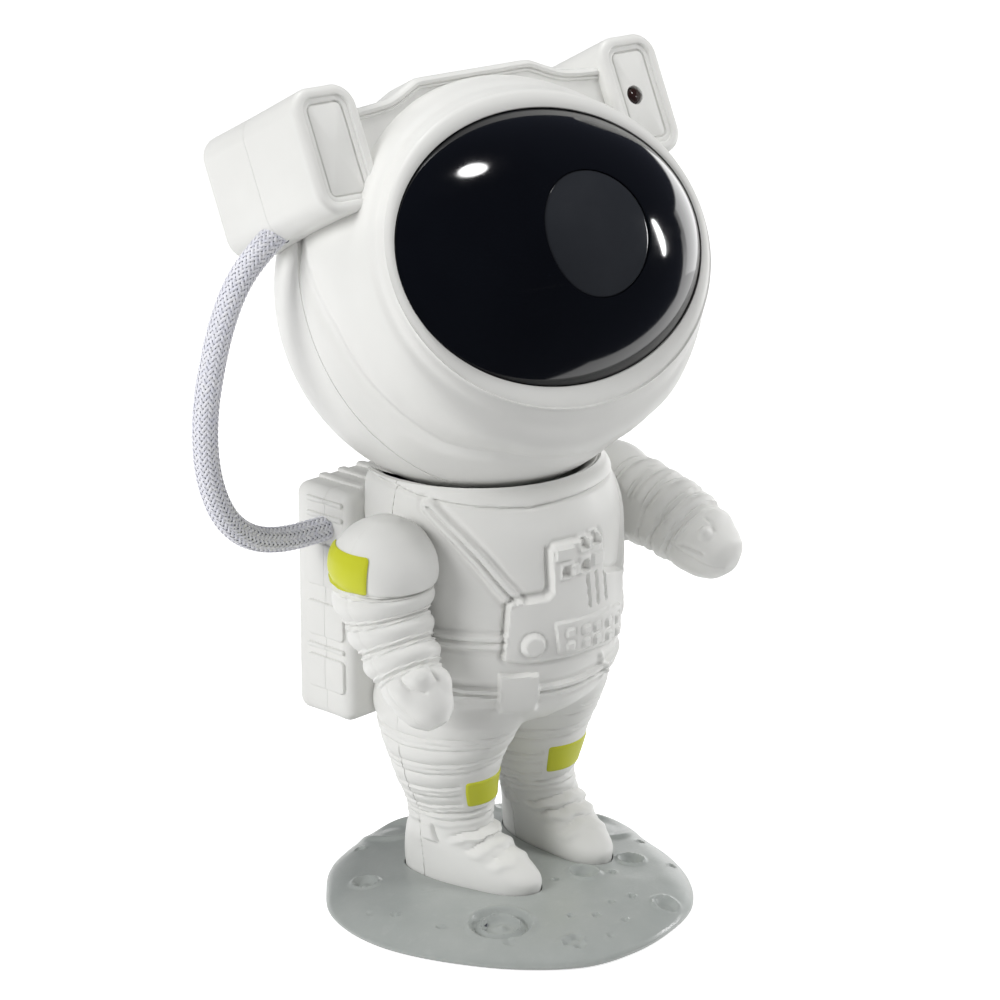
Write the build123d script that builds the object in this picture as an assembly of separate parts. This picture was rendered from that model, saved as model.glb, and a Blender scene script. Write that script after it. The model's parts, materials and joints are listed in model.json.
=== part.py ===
from build123d import *

import math
import os

# Star and nebula projector shaped as a standing astronaut, in millimetres.
# +Z up, the astronaut faces -Y and its left hand is on +X. The origin is under the head's axis,
# on the surface that the projector stands on.

# Head: a sphere whose front is drawn out into a hood around the visor
HEAD_CENTRE = (0.0, 13.3, 167.7)
HEAD_R = 54.0
HEAD_YAW = -7.13
HEAD_PITCH = 26.55
HELMET_WALL = 2.2
HELMET_SEAM_Y = 3.7
HOOD_FRONT_Y = -36.0
# Hood sections behind the front edge: y, half-width, half-height, height of the centre
HOOD_SECTIONS = [
    (HOOD_FRONT_Y, 51.4, 39.5, 2.3),
    (-33.0, 52.8, 43.0, 1.4),
    (-27.0, 54.4, 49.0, 0.0),
    (-18.0, 55.2, 53.3, -0.4),
    (-8.0, 55.1, 54.6, 0.0),
]

# Visor, its window and what holds it
VISOR_CENTRE = (0.0, -10.0, 2.3)
VISOR_SEMI_AXES = (58.3, 45.6, 42.6)
VISOR_WALL = 2.0
VISOR_BACK_Y = -33.0
VISOR_GAP = 0.3
LEDGE_WIDTH = 2.3
LEDGE_DEPTH = 2.0
WINDOW_R = 16.45
WINDOW_Z = 0.45
WINDOW_WALL = 3.0
WINDOW_GAP = 0.1
HOLDER_PLATE = 2.0
HOLDER_TUBE_R = 17.6
HOLDER_TUBE_WALL = 1.6
HOLDER_TUBE_FRONT_Y = -47.0

# Ear pods and the brow band between them
POD_X = 50.5
POD_Z = 38.3
POD_WIDTH = 20.0
POD_HEIGHT = 33.3
POD_FRONT_Y = -26.1
POD_LENGTH = 45.6
POD_CORNER_R = 6.5
POD_EDGE_R = 2.0
POD_WALL = 2.0
POD_SEAM_Y = -1.5
POD_FIT = 1.002
BAND_FRONT_Y = -24.0
BAND_BACK_Y = -12.0
BAND_TOP_Z = 53.4
BAND_TOP_HALF = 19.0
BAND_SIDE_HALF = 37.0
BAND_SIDE_Z = 46.5
BAND_END_HALF = 42.0
BAND_END_Z = 44.5
IR_X = 49.2
IR_Z = 38.4
IR_HOLE_R = 2.0

# Optics inside the head
FRAME_FRONT_Y = -20.0
FRAME_PLATE = 2.0
FRAME_HALF_WIDTH = 46.0
FRAME_HALF_HEIGHT = 29.0
FRAME_SCREW_X = 40.0
FRAME_SCREW_Z = 24.0
POST_R = 3.2
GEAR_MODULE = 0.8
DISC_TEETH = 56
PINION_TEETH = 10
WHEEL_TEETH = 26
DISC_CENTRE = (-17.0, -9.0)
DISC_Y = (-24.5, -22.5)
WHEEL_CENTRE = (12.5, 0.45)
WHEEL_Y = (-28.4, -26.2)
GEAR_BORE_R = 5.05
SPINDLE_R = 5.0
BEAM_R = 3.2
AXLE_R = 1.5
AXLE_CLEARANCE = 0.05
MOTOR_R = 7.5
MOTOR_LENGTH = 18.0
MOTOR_SHAFT_R = 0.75
LAMP_CENTRE = (-7.5, 0.45)
LAMP_LENS_R = 8.4
LAMP_COLLAR_WALL = 1.6
LAMP_BOARD_R = 9.6
LAMP_BOARD = 1.6
LAMP_BOARD_Y = -13.0
LASER_R = 6.0
LASER_LENGTH = 24.0

# Control board, buttons and socket at the back of the head
BOARD_Y = 38.0
BOARD_THICK = 1.6
BOARD_HALF_WIDTH = 24.0
BOARD_Z = (-20.0, 18.0)
BOARD_POST_X = 20.5
BOARD_POST_Z = (-16.5, 14.5)
BUTTON_X = {"power_button": 0.0, "nebula_button": 13.0, "star_button": -13.0}
BUTTON_Z = 6.0
BUTTON_R = 4.2
BUTTON_GAP = 0.2
BUTTON_PROUD = 1.3
BUTTON_TRAVEL = 0.8
FLANGE_R = 5.6
FLANGE_Y = (46.2, 47.4)
SWITCH_SIZE = (6.0, 3.5, 6.0)
SWITCH_PLUNGER = 1.5
SOCKET_Z = -12.0
SOCKET_SIZE = (8.94, 11.9, 3.26)
SOCKET_WALL = 0.35

# Neck
SEAT_GAP = 0.3
SEAT_R = 10.5
RELIEF_R = 57.3
SEAT_WALL = 3.0
MAGNET_R = 7.55
MAGNET_BORE_R = 7.6
MAGNET_Z = (107.6, 113.2)
KEEPER_R = 12.0
KEEPER_WALL = 1.5

# Body shells, split front from back
PARTING_Y = 11.8
BODY_WALL = 2.4
LEG_FLOOR_Z = 26.0
# Torso sections: height, centre y, half-width, half-depth
TORSO_SECTIONS = [
    (124.0, 12.5, 31.2, 31.0),
    (119.0, 11.5, 33.4, 33.2),
    (112.0, 10.0, 34.7, 34.4),
    (100.0, 8.5, 34.8, 33.4),
    (86.0, 7.0, 34.4, 32.0),
    (76.0, 6.0, 33.8, 30.6),
    (66.0, 6.0, 32.4, 28.8),
    (58.0, 6.6, 29.8, 26.0),
    (53.0, 7.6, 25.0, 21.0),
]
# Leg sections: height, x midway between the legs, centre's distance from there, centre y, half-width, half-depth
LEG_SECTIONS = [
    (66.0, 0.0, 16.5, 8.0, 14.5, 18.0),
    (56.0, 0.0, 17.5, 8.8, 15.0, 18.2),
    (46.0, 0.2, 17.6, 9.6, 14.6, 16.2),
    (36.0, 0.6, 17.2, 10.0, 12.6, 13.8),
    (28.0, 1.4, 16.2, 10.2, 9.9, 12.2),
    (21.0, 2.2, 16.0, 10.0, 9.3, 11.8),
]
BOOT_SPREAD = 16.4
BOOT_CENTRE_X = 2.4
# Boot sections: height above the sole, centre y, half-width, half-length
SOLE_Z = 6.8
BOOT_TOE_IN = 9.0
BOOT_SECTIONS = [
    (0.0, 2.4, 8.5, 21.4),
    (4.0, 2.5, 8.9, 21.6),
    (8.0, 4.8, 9.1, 19.0),
    (12.0, 7.8, 9.4, 15.0),
    (17.0, 9.7, 9.6, 12.0),
]
BODY_SCREW_POINTS = [(-24.0, 103.0), (24.0, 103.0), (-24.0, 72.0), (24.0, 72.0)]
BODY_SCREW_SEAT_Y = 21.8
LEG_SCREW_SECTION = 3
LEG_SCREW_SEAT_Y = 14.0
BOOT_SCREW_Y = (-8.0, 17.0)
SCREW_R = 1.4
SCREW_FIT = 0.03
SCREW_HEAD_R = 2.6
SCREW_HEAD = 1.5
BOSS_R = 3.4

# Arms hang from friction pins at the shoulders
SHOULDER = (36.0, 6.0, 103.6)
ARM_INNER_X = 35.3
ARM_WALL = 2.0
# Arm sections from the shoulder: outward, forward, down, radius
ARM_SECTIONS = {
    "right_arm": [
        (8.3, 1.2, -12.8, 3.5),
        (8.3, 1.2, -10.8, 7.5),
        (8.3, 1.2, -6.5, 11.4),
        (8.4, 1.0, 0.0, 13.4),
        (8.5, 0.8, 5.5, 13.3),
        (8.9, 2.4, 12.5, 11.7),
        (9.2, 6.1, 20.2, 10.0),
        (9.4, 10.3, 26.6, 9.2),
        (9.4, 14.1, 31.2, 8.5),
        (9.3, 17.4, 35.0, 7.4),
        (9.2, 19.6, 37.6, 5.6),
        (9.2, 21.0, 39.4, 3.0),
    ],
    "left_arm": [
        (8.3, -12.6, -0.5, 3.5),
        (8.3, -10.5, -0.5, 7.5),
        (8.3, -6.0, -0.4, 11.0),
        (8.4, -0.5, 0.0, 12.3),
        (8.7, 6.0, 1.0, 11.7),
        (9.2, 14.0, 2.2, 11.0),
        (9.6, 21.5, 3.8, 10.6),
        (9.9, 28.8, 7.0, 10.2),
        (10.1, 34.1, 9.5, 9.3),
        (10.2, 38.0, 11.3, 7.9),
        (10.3, 40.6, 12.6, 5.8),
        (10.4, 42.2, 13.4, 2.8),
    ],
}
PIN_R = 3.0
PIN_FIT = 0.05
PIN_LENGTH = 12.0
PIN_HEAD_R = 4.6
PIN_HEAD = 1.5
WASHER = 0.6
SHOULDER_WALL = 4.2
SHOULDER_BOSS_R = 5.4
WASHER_R = 5.2

# Backpack
PACK_HALF_WIDTH = 36.5
PACK_Y = (26.3, 47.2)
PACK_Z = (50.7, 115.3)
PACK_SEAM_Y = 35.3
PACK_EDGE_R = 3.5
PACK_WALL = 2.0
PACK_MOUNT_POINTS = [(-11.0, 98.0), (11.0, 98.0), (-11.0, 68.0), (11.0, 68.0)]
PACK_COVER_POINTS = [(-29.0, 95.0), (29.0, 95.0), (-29.0, 59.0), (29.0, 59.0)]
PACK_COVER_SEAT_Y = 42.0

# Braided hose between the backpack and the right ear pod, in two lengths that meet end to end
HOSE_D = 7.0
HOSE_BORE_R = 3.8
GROMMET_R = 3.75
GROMMET = 2.5
HOSE_BOSS_R = 5.8
HOSE_SPLIT = (-79.35, 34.1, 141.1)
HOSE_LOWER = [
    (-34.0, 35.3, 104.6),
    (-43.5, 35.3, 104.6),
    (-54.0, 35.1, 105.4),
    (-64.3, 34.8, 108.6),
    (-72.4, 34.6, 115.4),
    (-77.4, 34.4, 125.0),
    (-79.5, 34.2, 135.6),
    HOSE_SPLIT,
]
HOSE_UPPER = [
    HOSE_SPLIT,
    (-79.2, 34.0, 146.6),
    (-77.1, 33.7, 156.9),
    (-74.0, 33.4, 167.2),
    (-69.2, 33.1, 176.9),
    (-62.2, 32.9, 184.0),
    (-54.35, 32.55, 189.1),
]

# Moon base
BASE_BOTTOM_Z = 0.5
BASE_CROWN_Z = 8.4
BASE_DOME_R = 392.0
BASE_POCKET_R = 42.0
BASE_ROOF_Z = 4.4
BASE_RIM = [
    (47.5, 2.0), (47.0, 14.0), (42.0, 28.0), (31.0, 40.0), (17.0, 48.0), (1.0, 51.5), (-14.0, 48.5),
    (-29.0, 42.5), (-40.0, 33.0), (-49.0, 22.5), (-54.0, 9.0), (-54.2, -6.0), (-49.0, -22.5),
    (-39.5, -38.6), (-26.0, -50.4), (-10.0, -53.7), (6.0, -51.8), (20.0, -46.6), (31.0, -37.0),
    (38.5, -25.0), (43.0, -12.0),
]
BOOT_RECESS_GAP = 0.4
PLATE_Z = (1.0, 2.6)
PLATE_GAP = 0.2
PLATE_SCREW_RADIUS = 37.5
PLATE_SCREW_COUNT = 3
PAD_R = 33.0

HEAD = Location(HEAD_CENTRE) * Rot(0, 0, HEAD_YAW) * Rot(-HEAD_PITCH, 0, 0)
PARTS = {}


# Small helpers -----------------------------------------------------------------------------------

def block(low, high):
    """Box between two opposite corners."""
    size = [b - a for a, b in zip(low, high)]
    return Pos(*low) * Box(*size, align=(Align.MIN, Align.MIN, Align.MIN))


def rod(start, end, radius):
    """Cylinder from one point to another."""
    axis = Vector(*end) - Vector(*start)
    plane = Plane(origin=start, z_dir=axis)
    return plane * Cylinder(radius, axis.length, align=(Align.CENTER, Align.CENTER, Align.MIN))


def rod_y(centre, low, high, radius):
    """Cylinder along Y through the (x, z) point centre."""
    return rod((centre[0], low, centre[1]), (centre[0], high, centre[1]), radius)


def along_y(sketch, low, high):
    """Sketch drawn with X across and Y up, stood upright and drawn out from low to high along Y."""
    return extrude(Pos(0, low, 0) * Rot(90, 0, 0) * sketch, amount=high - low, dir=(0, 1, 0))


def screw_y(centre, seat, tip, head_r=SCREW_HEAD_R, shank_r=SCREW_R):
    """Pan-head screw along Y: the head sits behind seat and the shank runs to tip."""
    away = math.copysign(SCREW_HEAD, seat - tip)
    head = rod_y(centre, min(seat, seat + away), max(seat, seat + away), head_r)
    return head + rod_y(centre, min(seat, tip), max(seat, tip), shank_r)


def screw_up(x, y, seat, tip):
    """Pan-head screw driven upwards: the head hangs below seat."""
    return rod((x, y, seat - SCREW_HEAD), (x, y, seat), SCREW_HEAD_R) + rod((x, y, seat), (x, y, tip), SCREW_R)


def group(shapes):
    """One node made of several separate solids."""
    return Compound([solid for shape in shapes for solid in shape.solids()])


def largest(shape):
    """The main solid of a cut, without slivers."""
    return max(shape.solids(), key=lambda solid: solid.volume)


def oval_y(y, half_x, half_z, centre_z=0.0):
    """Ellipse in a plane across Y."""
    return Pos(0, y, centre_z) * Rot(90, 0, 0) * Ellipse(half_x, half_z)


def keep_head(name, shape):
    """Store a piece that is modelled upright about the centre of the head."""
    PARTS[name] = HEAD * shape


# Head shells -------------------------------------------------------------------------------------

def hood(inset):
    """Hood and front half of the head, from the visor's edge back to the helmet's seam."""
    sections = [
        oval_y(y, half_x - inset, half_z - inset, z)
        for y, half_x, half_z, z in HOOD_SECTIONS
        if inset == 0 or y > HOOD_FRONT_Y
    ]
    seam_r = math.sqrt((HEAD_R - inset) ** 2 - HELMET_SEAM_Y**2)
    sections.append(Pos(0, HELMET_SEAM_Y, 0) * Rot(90, 0, 0) * Circle(seam_r))
    return loft(sections)


def ball(radius):
    """Sphere about the head's centre with its poles along Y."""
    return Rot(90, 0, 0) * Sphere(radius)


def head_solid():
    """Outer form of the whole head without pods."""
    back = ball(HEAD_R) & block((-60, HELMET_SEAM_Y, -60), (60, 60, 60))
    return hood(0) + back


def visor_rim(grow):
    """Half-width and half-height of the visor's edge at its back plane."""
    depth = (VISOR_BACK_Y - VISOR_CENTRE[1]) / VISOR_SEMI_AXES[1]
    share = math.sqrt(1 - depth**2)
    return VISOR_SEMI_AXES[0] * share + grow, VISOR_SEMI_AXES[2] * share + grow


def opening_prism(grow, low, high):
    """Elliptical prism that follows the visor's edge."""
    half_x, half_z = visor_rim(grow)
    return along_y(Pos(0, VISOR_CENTRE[2]) * Ellipse(half_x, half_z), low, high)


def helmet_screw_points():
    """Four screws around the helmet, on its diagonals."""
    reach = 44.0 / math.sqrt(2)
    return [(sx * reach, sz * reach) for sx in (-1, 1) for sz in (-1, 1)]


def radial_rib(centre, low, high):
    """Flat rib that ties a screw boss to the helmet's wall."""
    angle = math.degrees(math.atan2(centre[1], centre[0]))
    rib = block((math.hypot(*centre), low, -1.2), (HEAD_R, high, 1.2))
    return Rot(0, -angle, 0) * rib


def helmet_front_shell():
    outer = hood(0)
    inner = hood(HELMET_WALL) & block((-60, VISOR_BACK_Y + LEDGE_DEPTH, -60), (60, HELMET_SEAM_Y, 60))
    shell = outer - inner
    shell -= opening_prism(VISOR_GAP, HOOD_FRONT_Y, VISOR_BACK_Y)
    shell -= opening_prism(-LEDGE_WIDTH, VISOR_BACK_Y, VISOR_BACK_Y + LEDGE_DEPTH)
    ledge_back = VISOR_BACK_Y + LEDGE_DEPTH
    for centre in frame_screw_points():
        shell += rod_y(centre, ledge_back - 0.5, FRAME_FRONT_Y, POST_R) & outer
        shell -= rod_y(centre, ledge_back + 1.0, FRAME_FRONT_Y, SCREW_R + SCREW_FIT)
    for centre in helmet_screw_points():
        post = rod_y(centre, -10.0, HELMET_SEAM_Y, BOSS_R) + radial_rib(centre, -10.0, HELMET_SEAM_Y)
        shell += post & outer
        shell -= rod_y(centre, -8.0, HELMET_SEAM_Y, SCREW_R + SCREW_FIT)
    return largest(shell)


def helmet_back_shell():
    half = block((-60, HELMET_SEAM_Y, -60), (60, 60, 60))
    outer = ball(HEAD_R) & half
    shell = outer - ball(HEAD_R - HELMET_WALL)
    for centre in helmet_screw_points():
        post = rod_y(centre, HELMET_SEAM_Y, 60, BOSS_R + 1.2) + radial_rib(centre, HELMET_SEAM_Y, 40)
        shell += post & outer
        shell -= rod_y(centre, HELMET_SEAM_Y, 60, SCREW_R + 0.2)
        shell -= rod_y(centre, 12.0, 60, SCREW_HEAD_R + 0.3)
    for x in BUTTON_X.values():
        pad = rod_y((x, BUTTON_Z), FLANGE_Y[1] + BUTTON_GAP, 60, FLANGE_R + 1.4)
        shell += pad & outer
    for x in BUTTON_X.values():
        shell -= rod_y((x, BUTTON_Z), 40, 60, BUTTON_R + BUTTON_GAP)
    for x in (-BOARD_POST_X, BOARD_POST_X):
        for z in BOARD_POST_Z:
            shell += rod_y((x, z), BOARD_Y + BOARD_THICK, 60, 2.6) & outer
            shell -= rod_y((x, z), BOARD_Y, BOARD_Y + 6.0, 1.0 + SCREW_FIT)
    shell -= socket_body(0.25, 60)
    return largest(shell)


def pod_solid(side, inset):
    """Ear pod as a rounded block along Y."""
    outline = RectangleRounded(POD_WIDTH - 2 * inset, POD_HEIGHT - 2 * inset, POD_CORNER_R - inset)
    low, high = POD_FRONT_Y + inset, POD_FRONT_Y + POD_LENGTH - inset
    solid = along_y(Pos(side * POD_X, POD_Z) * outline, low, high)
    if inset == 0:
        ends = solid.faces().sort_by(Axis.Y)
        solid = fillet(ends[0].edges() + ends[-1].edges(), POD_EDGE_R)
    return solid


def hose_bore(grow, start, end):
    """Cylinder around the hose's upper end, in the head's frame, from start to end past that end."""
    tip = Vector(*HOSE_UPPER[-1])
    way = (tip - Vector(*HOSE_UPPER[-2])).normalized()
    solid = rod(tuple(tip + way * start), tuple(tip + way * end), grow)
    return HEAD.inverse() * solid


def ear_pods():
    """Two hollow halves on each side, seated on the helmet."""
    seat = scale(head_solid(), by=POD_FIT)
    front = block((-80, -60, -20), (80, POD_SEAM_Y, 80))
    back = block((-80, POD_SEAM_Y, -20), (80, 60, 80))
    for name, side in (("right", -1), ("left", 1)):
        outer = pod_solid(side, 0)
        pod = outer - pod_solid(side, POD_WALL)
        if side < 0:
            pod += hose_bore(HOSE_BOSS_R, -8.0, GROMMET + 1.5) & outer
            pod -= hose_bore(HOSE_BORE_R, -12.0, GROMMET)
        else:
            pod -= rod_y((IR_X, IR_Z), POD_FRONT_Y - 1, POD_FRONT_Y + POD_WALL + 1, IR_HOLE_R)
        pod -= seat
        keep_head(f"earpod_{name}_front", largest(pod & front))
        keep_head(f"earpod_{name}_back", largest(pod & back))
    keep_head("hose_grommet_earpod", hose_bore(GROMMET_R, 0.0, GROMMET))


def brow_band():
    """Bar across the top of the hood between the pods."""
    half = [(BAND_TOP_HALF, BAND_TOP_Z), (BAND_SIDE_HALF, BAND_SIDE_Z), (BAND_END_HALF, BAND_END_Z)]
    top = [(-x, z) for x, z in reversed(half)] + half
    outline = Polygon(*top, (BAND_END_HALF, 20), (-BAND_END_HALF, 20), align=None)
    bar = along_y(outline, BAND_FRONT_Y, BAND_BACK_Y)
    bar -= scale(head_solid(), by=POD_FIT)
    for side in (-1, 1):
        bar -= pod_solid(side, -0.05)
    return largest(bar)


def visor_pieces():
    """Glossy visor with a round window, on a ledge inside the hood, and the holder behind it."""
    dome = scale(Sphere(1.0), by=VISOR_SEMI_AXES)
    thin = tuple(a - VISOR_WALL for a in VISOR_SEMI_AXES)
    thick = tuple(a - WINDOW_WALL for a in VISOR_SEMI_AXES)
    front = block((-70, -70, -60), (70, VISOR_BACK_Y, 60))
    place = Pos(*VISOR_CENTRE)
    centre = (0, WINDOW_Z)
    visor = (place * (dome - scale(Sphere(1.0), by=thin))) & front
    keep_head("visor", largest(visor - rod_y(centre, -70, 0, WINDOW_R + WINDOW_GAP)))
    window = (place * (dome - scale(Sphere(1.0), by=thick))) & rod_y(centre, -70, VISOR_BACK_Y, WINDOW_R)
    keep_head("projection_lens", largest(window))
    plate_front = VISOR_BACK_Y + LEDGE_DEPTH
    holder = opening_prism(-1.0, plate_front, plate_front + HOLDER_PLATE)
    for point in frame_screw_points():
        holder -= rod_y(point, plate_front, plate_front + HOLDER_PLATE, POST_R + 0.3)
    holder += rod_y(centre, HOLDER_TUBE_FRONT_Y, plate_front + 0.5, HOLDER_TUBE_R)
    holder -= rod_y(centre, HOLDER_TUBE_FRONT_Y, plate_front + HOLDER_PLATE, HOLDER_TUBE_R - HOLDER_TUBE_WALL)
    keep_head("lens_holder", largest(holder))


def infrared_receiver():
    """Remote-control receiver behind its hole in the left pod."""
    back = POD_FRONT_Y + POD_WALL
    case = block((IR_X - 3.2, back + 0.05, IR_Z - 3.6), (IR_X + 3.2, back + 4.5, IR_Z + 3.6))
    return case + rod_y((IR_X, IR_Z), back - 1.0, back + 0.1, IR_HOLE_R - 0.1)


# Optics ------------------------------------------------------------------------------------------

def frame_screw_points():
    return [(sx * FRAME_SCREW_X, sz * FRAME_SCREW_Z) for sx in (-1, 1) for sz in (-1, 1)]


def pitch_r(teeth):
    return GEAR_MODULE * teeth / 2


def pinion_centre():
    """Point that lies one mesh distance from both driven gears, below them."""
    reach_disc = pitch_r(DISC_TEETH) + pitch_r(PINION_TEETH)
    reach_wheel = pitch_r(WHEEL_TEETH) + pitch_r(PINION_TEETH)
    dx = WHEEL_CENTRE[0] - DISC_CENTRE[0]
    dz = WHEEL_CENTRE[1] - DISC_CENTRE[1]
    apart = math.hypot(dx, dz)
    along = (reach_disc**2 - reach_wheel**2 + apart**2) / (2 * apart)
    across = math.sqrt(reach_disc**2 - along**2)
    ux, uz = dx / apart, dz / apart
    return DISC_CENTRE[0] + ux * along + uz * across, DISC_CENTRE[1] + uz * along - ux * across


def gear_face(teeth, turn):
    """Toothed outline with free-running teeth; the first tooth points along turn degrees."""
    step = 360 / teeth
    pitch = pitch_r(teeth)
    tip = pitch + 0.85 * GEAR_MODULE
    root = pitch - 1.2 * GEAR_MODULE
    root_half = math.degrees(0.86 * GEAR_MODULE / root)
    tip_half = math.degrees(0.30 * GEAR_MODULE / tip)
    points = []
    for tooth in range(teeth):
        middle = turn + tooth * step
        for radius, offset in ((root, -root_half), (tip, -tip_half), (tip, tip_half), (root, root_half)):
            angle = math.radians(middle + offset)
            points.append((radius * math.cos(angle), radius * math.sin(angle)))
    return Polygon(*points, align=None)


def gear(teeth, centre, span, turn):
    """Gear across Y between the two depths of span."""
    return along_y(Pos(*centre) * gear_face(teeth, turn), *span)


def mesh_turn(teeth, centre):
    """Angle that puts a gap of this gear on the pinion's first tooth, which points at +Z."""
    pinion = pinion_centre()
    toward = math.degrees(math.atan2(centre[1] - pinion[1], centre[0] - pinion[0]))
    ahead = (90 - toward) * pitch_r(PINION_TEETH) / pitch_r(teeth)
    return toward + 180 - ahead + 180 / teeth


def drive_train():
    """Ripple disc and grating wheel, both turned by the motor's pinion."""
    back = FRAME_FRONT_Y + FRAME_PLATE
    disc = gear(DISC_TEETH, DISC_CENTRE, DISC_Y, mesh_turn(DISC_TEETH, DISC_CENTRE))
    disc += rod_y(DISC_CENTRE, DISC_Y[0] - 1.0, FRAME_FRONT_Y - 0.3, 3.5)
    disc -= rod_y(DISC_CENTRE, DISC_Y[0] - 2, 0, AXLE_R + AXLE_CLEARANCE)
    keep_head("ripple_disc", disc)
    keep_head("disc_axle", rod_y(DISC_CENTRE, DISC_Y[0] - 1.5, back, AXLE_R))
    wheel = gear(WHEEL_TEETH, WHEEL_CENTRE, WHEEL_Y, mesh_turn(WHEEL_TEETH, WHEEL_CENTRE))
    wheel += rod_y(WHEEL_CENTRE, WHEEL_Y[0], FRAME_FRONT_Y - 0.3, 6.6)
    wheel -= rod_y(WHEEL_CENTRE, WHEEL_Y[0] + 0.6, 0, GEAR_BORE_R)
    keep_head("grating_wheel", wheel)
    pinion = pinion_centre()
    gear_low, gear_high = WHEEL_Y[0] - 0.4, DISC_Y[1] + 0.5
    small = gear(PINION_TEETH, pinion, (gear_low, gear_high), 90)
    small += rod_y(pinion, gear_high, back + 1.0, MOTOR_SHAFT_R)
    keep_head("motor_pinion", small)
    motor = rod_y(pinion, back, back + MOTOR_LENGTH, MOTOR_R)
    motor += rod_y(pinion, back + MOTOR_LENGTH, back + MOTOR_LENGTH + 1.5, 2.5)
    motor -= rod_y(pinion, back, back + 1.2, MOTOR_SHAFT_R + AXLE_CLEARANCE)
    keep_head("drive_motor", motor)


def lamp_pieces():
    """Colour lamp with its collimating lens and finned cooler, and the star laser beside it."""
    back = FRAME_FRONT_Y + FRAME_PLATE
    ball = Pos(LAMP_CENTRE[0], -21.2 + 10.5, LAMP_CENTRE[1]) * Sphere(10.5)
    lens = ball & rod_y(LAMP_CENTRE, -21.6, -16.4, LAMP_LENS_R)
    keep_head("condenser_lens", lens)
    board_back = LAMP_BOARD_Y + LAMP_BOARD
    keep_head("led_board", rod_y(LAMP_CENTRE, LAMP_BOARD_Y, board_back, LAMP_BOARD_R))
    chips = []
    for sx in (-1, 1):
        for sz in (-1, 1):
            x, z = LAMP_CENTRE[0] + sx * 2.4, LAMP_CENTRE[1] + sz * 2.4
            chips.append(block((x - 1.7, LAMP_BOARD_Y - 0.8, z - 1.7), (x + 1.7, LAMP_BOARD_Y, z + 1.7)))
    keep_head("led_emitters", group(chips))
    x, z = LAMP_CENTRE
    sink = block((x - 9.5, board_back, z - 9.0), (x + 9.5, board_back + 2.5, z + 9.0))
    for fin in range(6):
        left = x - 9.5 + fin * (19.0 - 1.2) / 5
        sink += block((left, board_back + 2.0, z - 9.0), (left + 1.2, board_back + 14.0, z + 9.0))
    keep_head("heat_sink", sink)
    laser = rod_y(WHEEL_CENTRE, back, back + LASER_LENGTH, LASER_R)
    laser -= rod_y(WHEEL_CENTRE, back, back + 3.0, BEAM_R - 0.4)
    keep_head("laser_module", laser)


def optics_frame():
    """Plate that carries motor, lamp, laser, disc and wheel, screwed to posts in the front shell."""
    back = FRAME_FRONT_Y + FRAME_PLATE
    outline = RectangleRounded(2 * FRAME_HALF_WIDTH, 2 * FRAME_HALF_HEIGHT, 8.0)
    plate = along_y(outline, FRAME_FRONT_Y, back)
    plate += rod_y(LAMP_CENTRE, back - 0.5, LAMP_BOARD_Y, LAMP_LENS_R + LAMP_COLLAR_WALL)
    plate -= rod_y(LAMP_CENTRE, FRAME_FRONT_Y, LAMP_BOARD_Y, LAMP_LENS_R + 0.1)
    plate += rod_y(WHEEL_CENTRE, back - 0.5, back + 12.0, LASER_R + 1.2)
    plate -= rod_y(WHEEL_CENTRE, back, back + 12.0, LASER_R + AXLE_CLEARANCE)
    plate += rod_y(WHEEL_CENTRE, WHEEL_Y[0] + 1.0, FRAME_FRONT_Y + 0.5, SPINDLE_R)
    plate -= rod_y(WHEEL_CENTRE, WHEEL_Y[0], back, BEAM_R)
    plate -= rod_y(pinion_centre(), FRAME_FRONT_Y, back, 2.4)
    plate -= rod_y(DISC_CENTRE, FRAME_FRONT_Y, back, AXLE_R + SCREW_FIT)
    plate -= rod_y(pinion_centre(), back, back + 14.0, MOTOR_R + 0.1)
    for centre in frame_screw_points():
        plate -= rod_y(centre, FRAME_FRONT_Y, back, SCREW_R + 0.2)
    return largest(plate)


# Control board -----------------------------------------------------------------------------------

def socket_body(grow, back):
    """Rounded outline of the charging socket, from the board towards the back."""
    front = BOARD_Y + BOARD_THICK
    outline = RectangleRounded(SOCKET_SIZE[0] + 2 * grow, SOCKET_SIZE[2] + 2 * grow, 1.2)
    return along_y(Pos(0, SOCKET_Z) * outline, front, back)


def control_pieces():
    """Board with its switches and socket behind the buttons."""
    face = BOARD_Y + BOARD_THICK
    board = block((-BOARD_HALF_WIDTH, BOARD_Y, BOARD_Z[0]), (BOARD_HALF_WIDTH, face, BOARD_Z[1]))
    board_screws = []
    for x in (-BOARD_POST_X, BOARD_POST_X):
        for z in BOARD_POST_Z:
            board -= rod_y((x, z), BOARD_Y, face, 1.2)
            board_screws.append(screw_y((x, z), BOARD_Y, BOARD_Y + 5.5, 2.0, 1.0))
    keep_head("control_board", board)
    keep_head("board_screws", group(board_screws))
    switches = []
    width, depth, height = SWITCH_SIZE
    for x in BUTTON_X.values():
        case = block((x - width / 2, face, BUTTON_Z - height / 2), (x + width / 2, face + depth, BUTTON_Z + height / 2))
        switches.append(case + rod_y((x, BUTTON_Z), face + depth - 0.2, face + depth + SWITCH_PLUNGER, 1.75))
    keep_head("tact_switches", group(switches))
    end = face + SOCKET_SIZE[1]
    shell = socket_body(0, end)
    hollow = socket_body(-SOCKET_WALL, end) & block((-10, face + 4.0, -20), (10, 60, 0))
    tongue = block((-3.2, face + 3.9, SOCKET_Z - 0.35), (3.2, end - 0.8, SOCKET_Z + 0.35))
    keep_head("usb_socket", shell - hollow + tongue)


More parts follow.
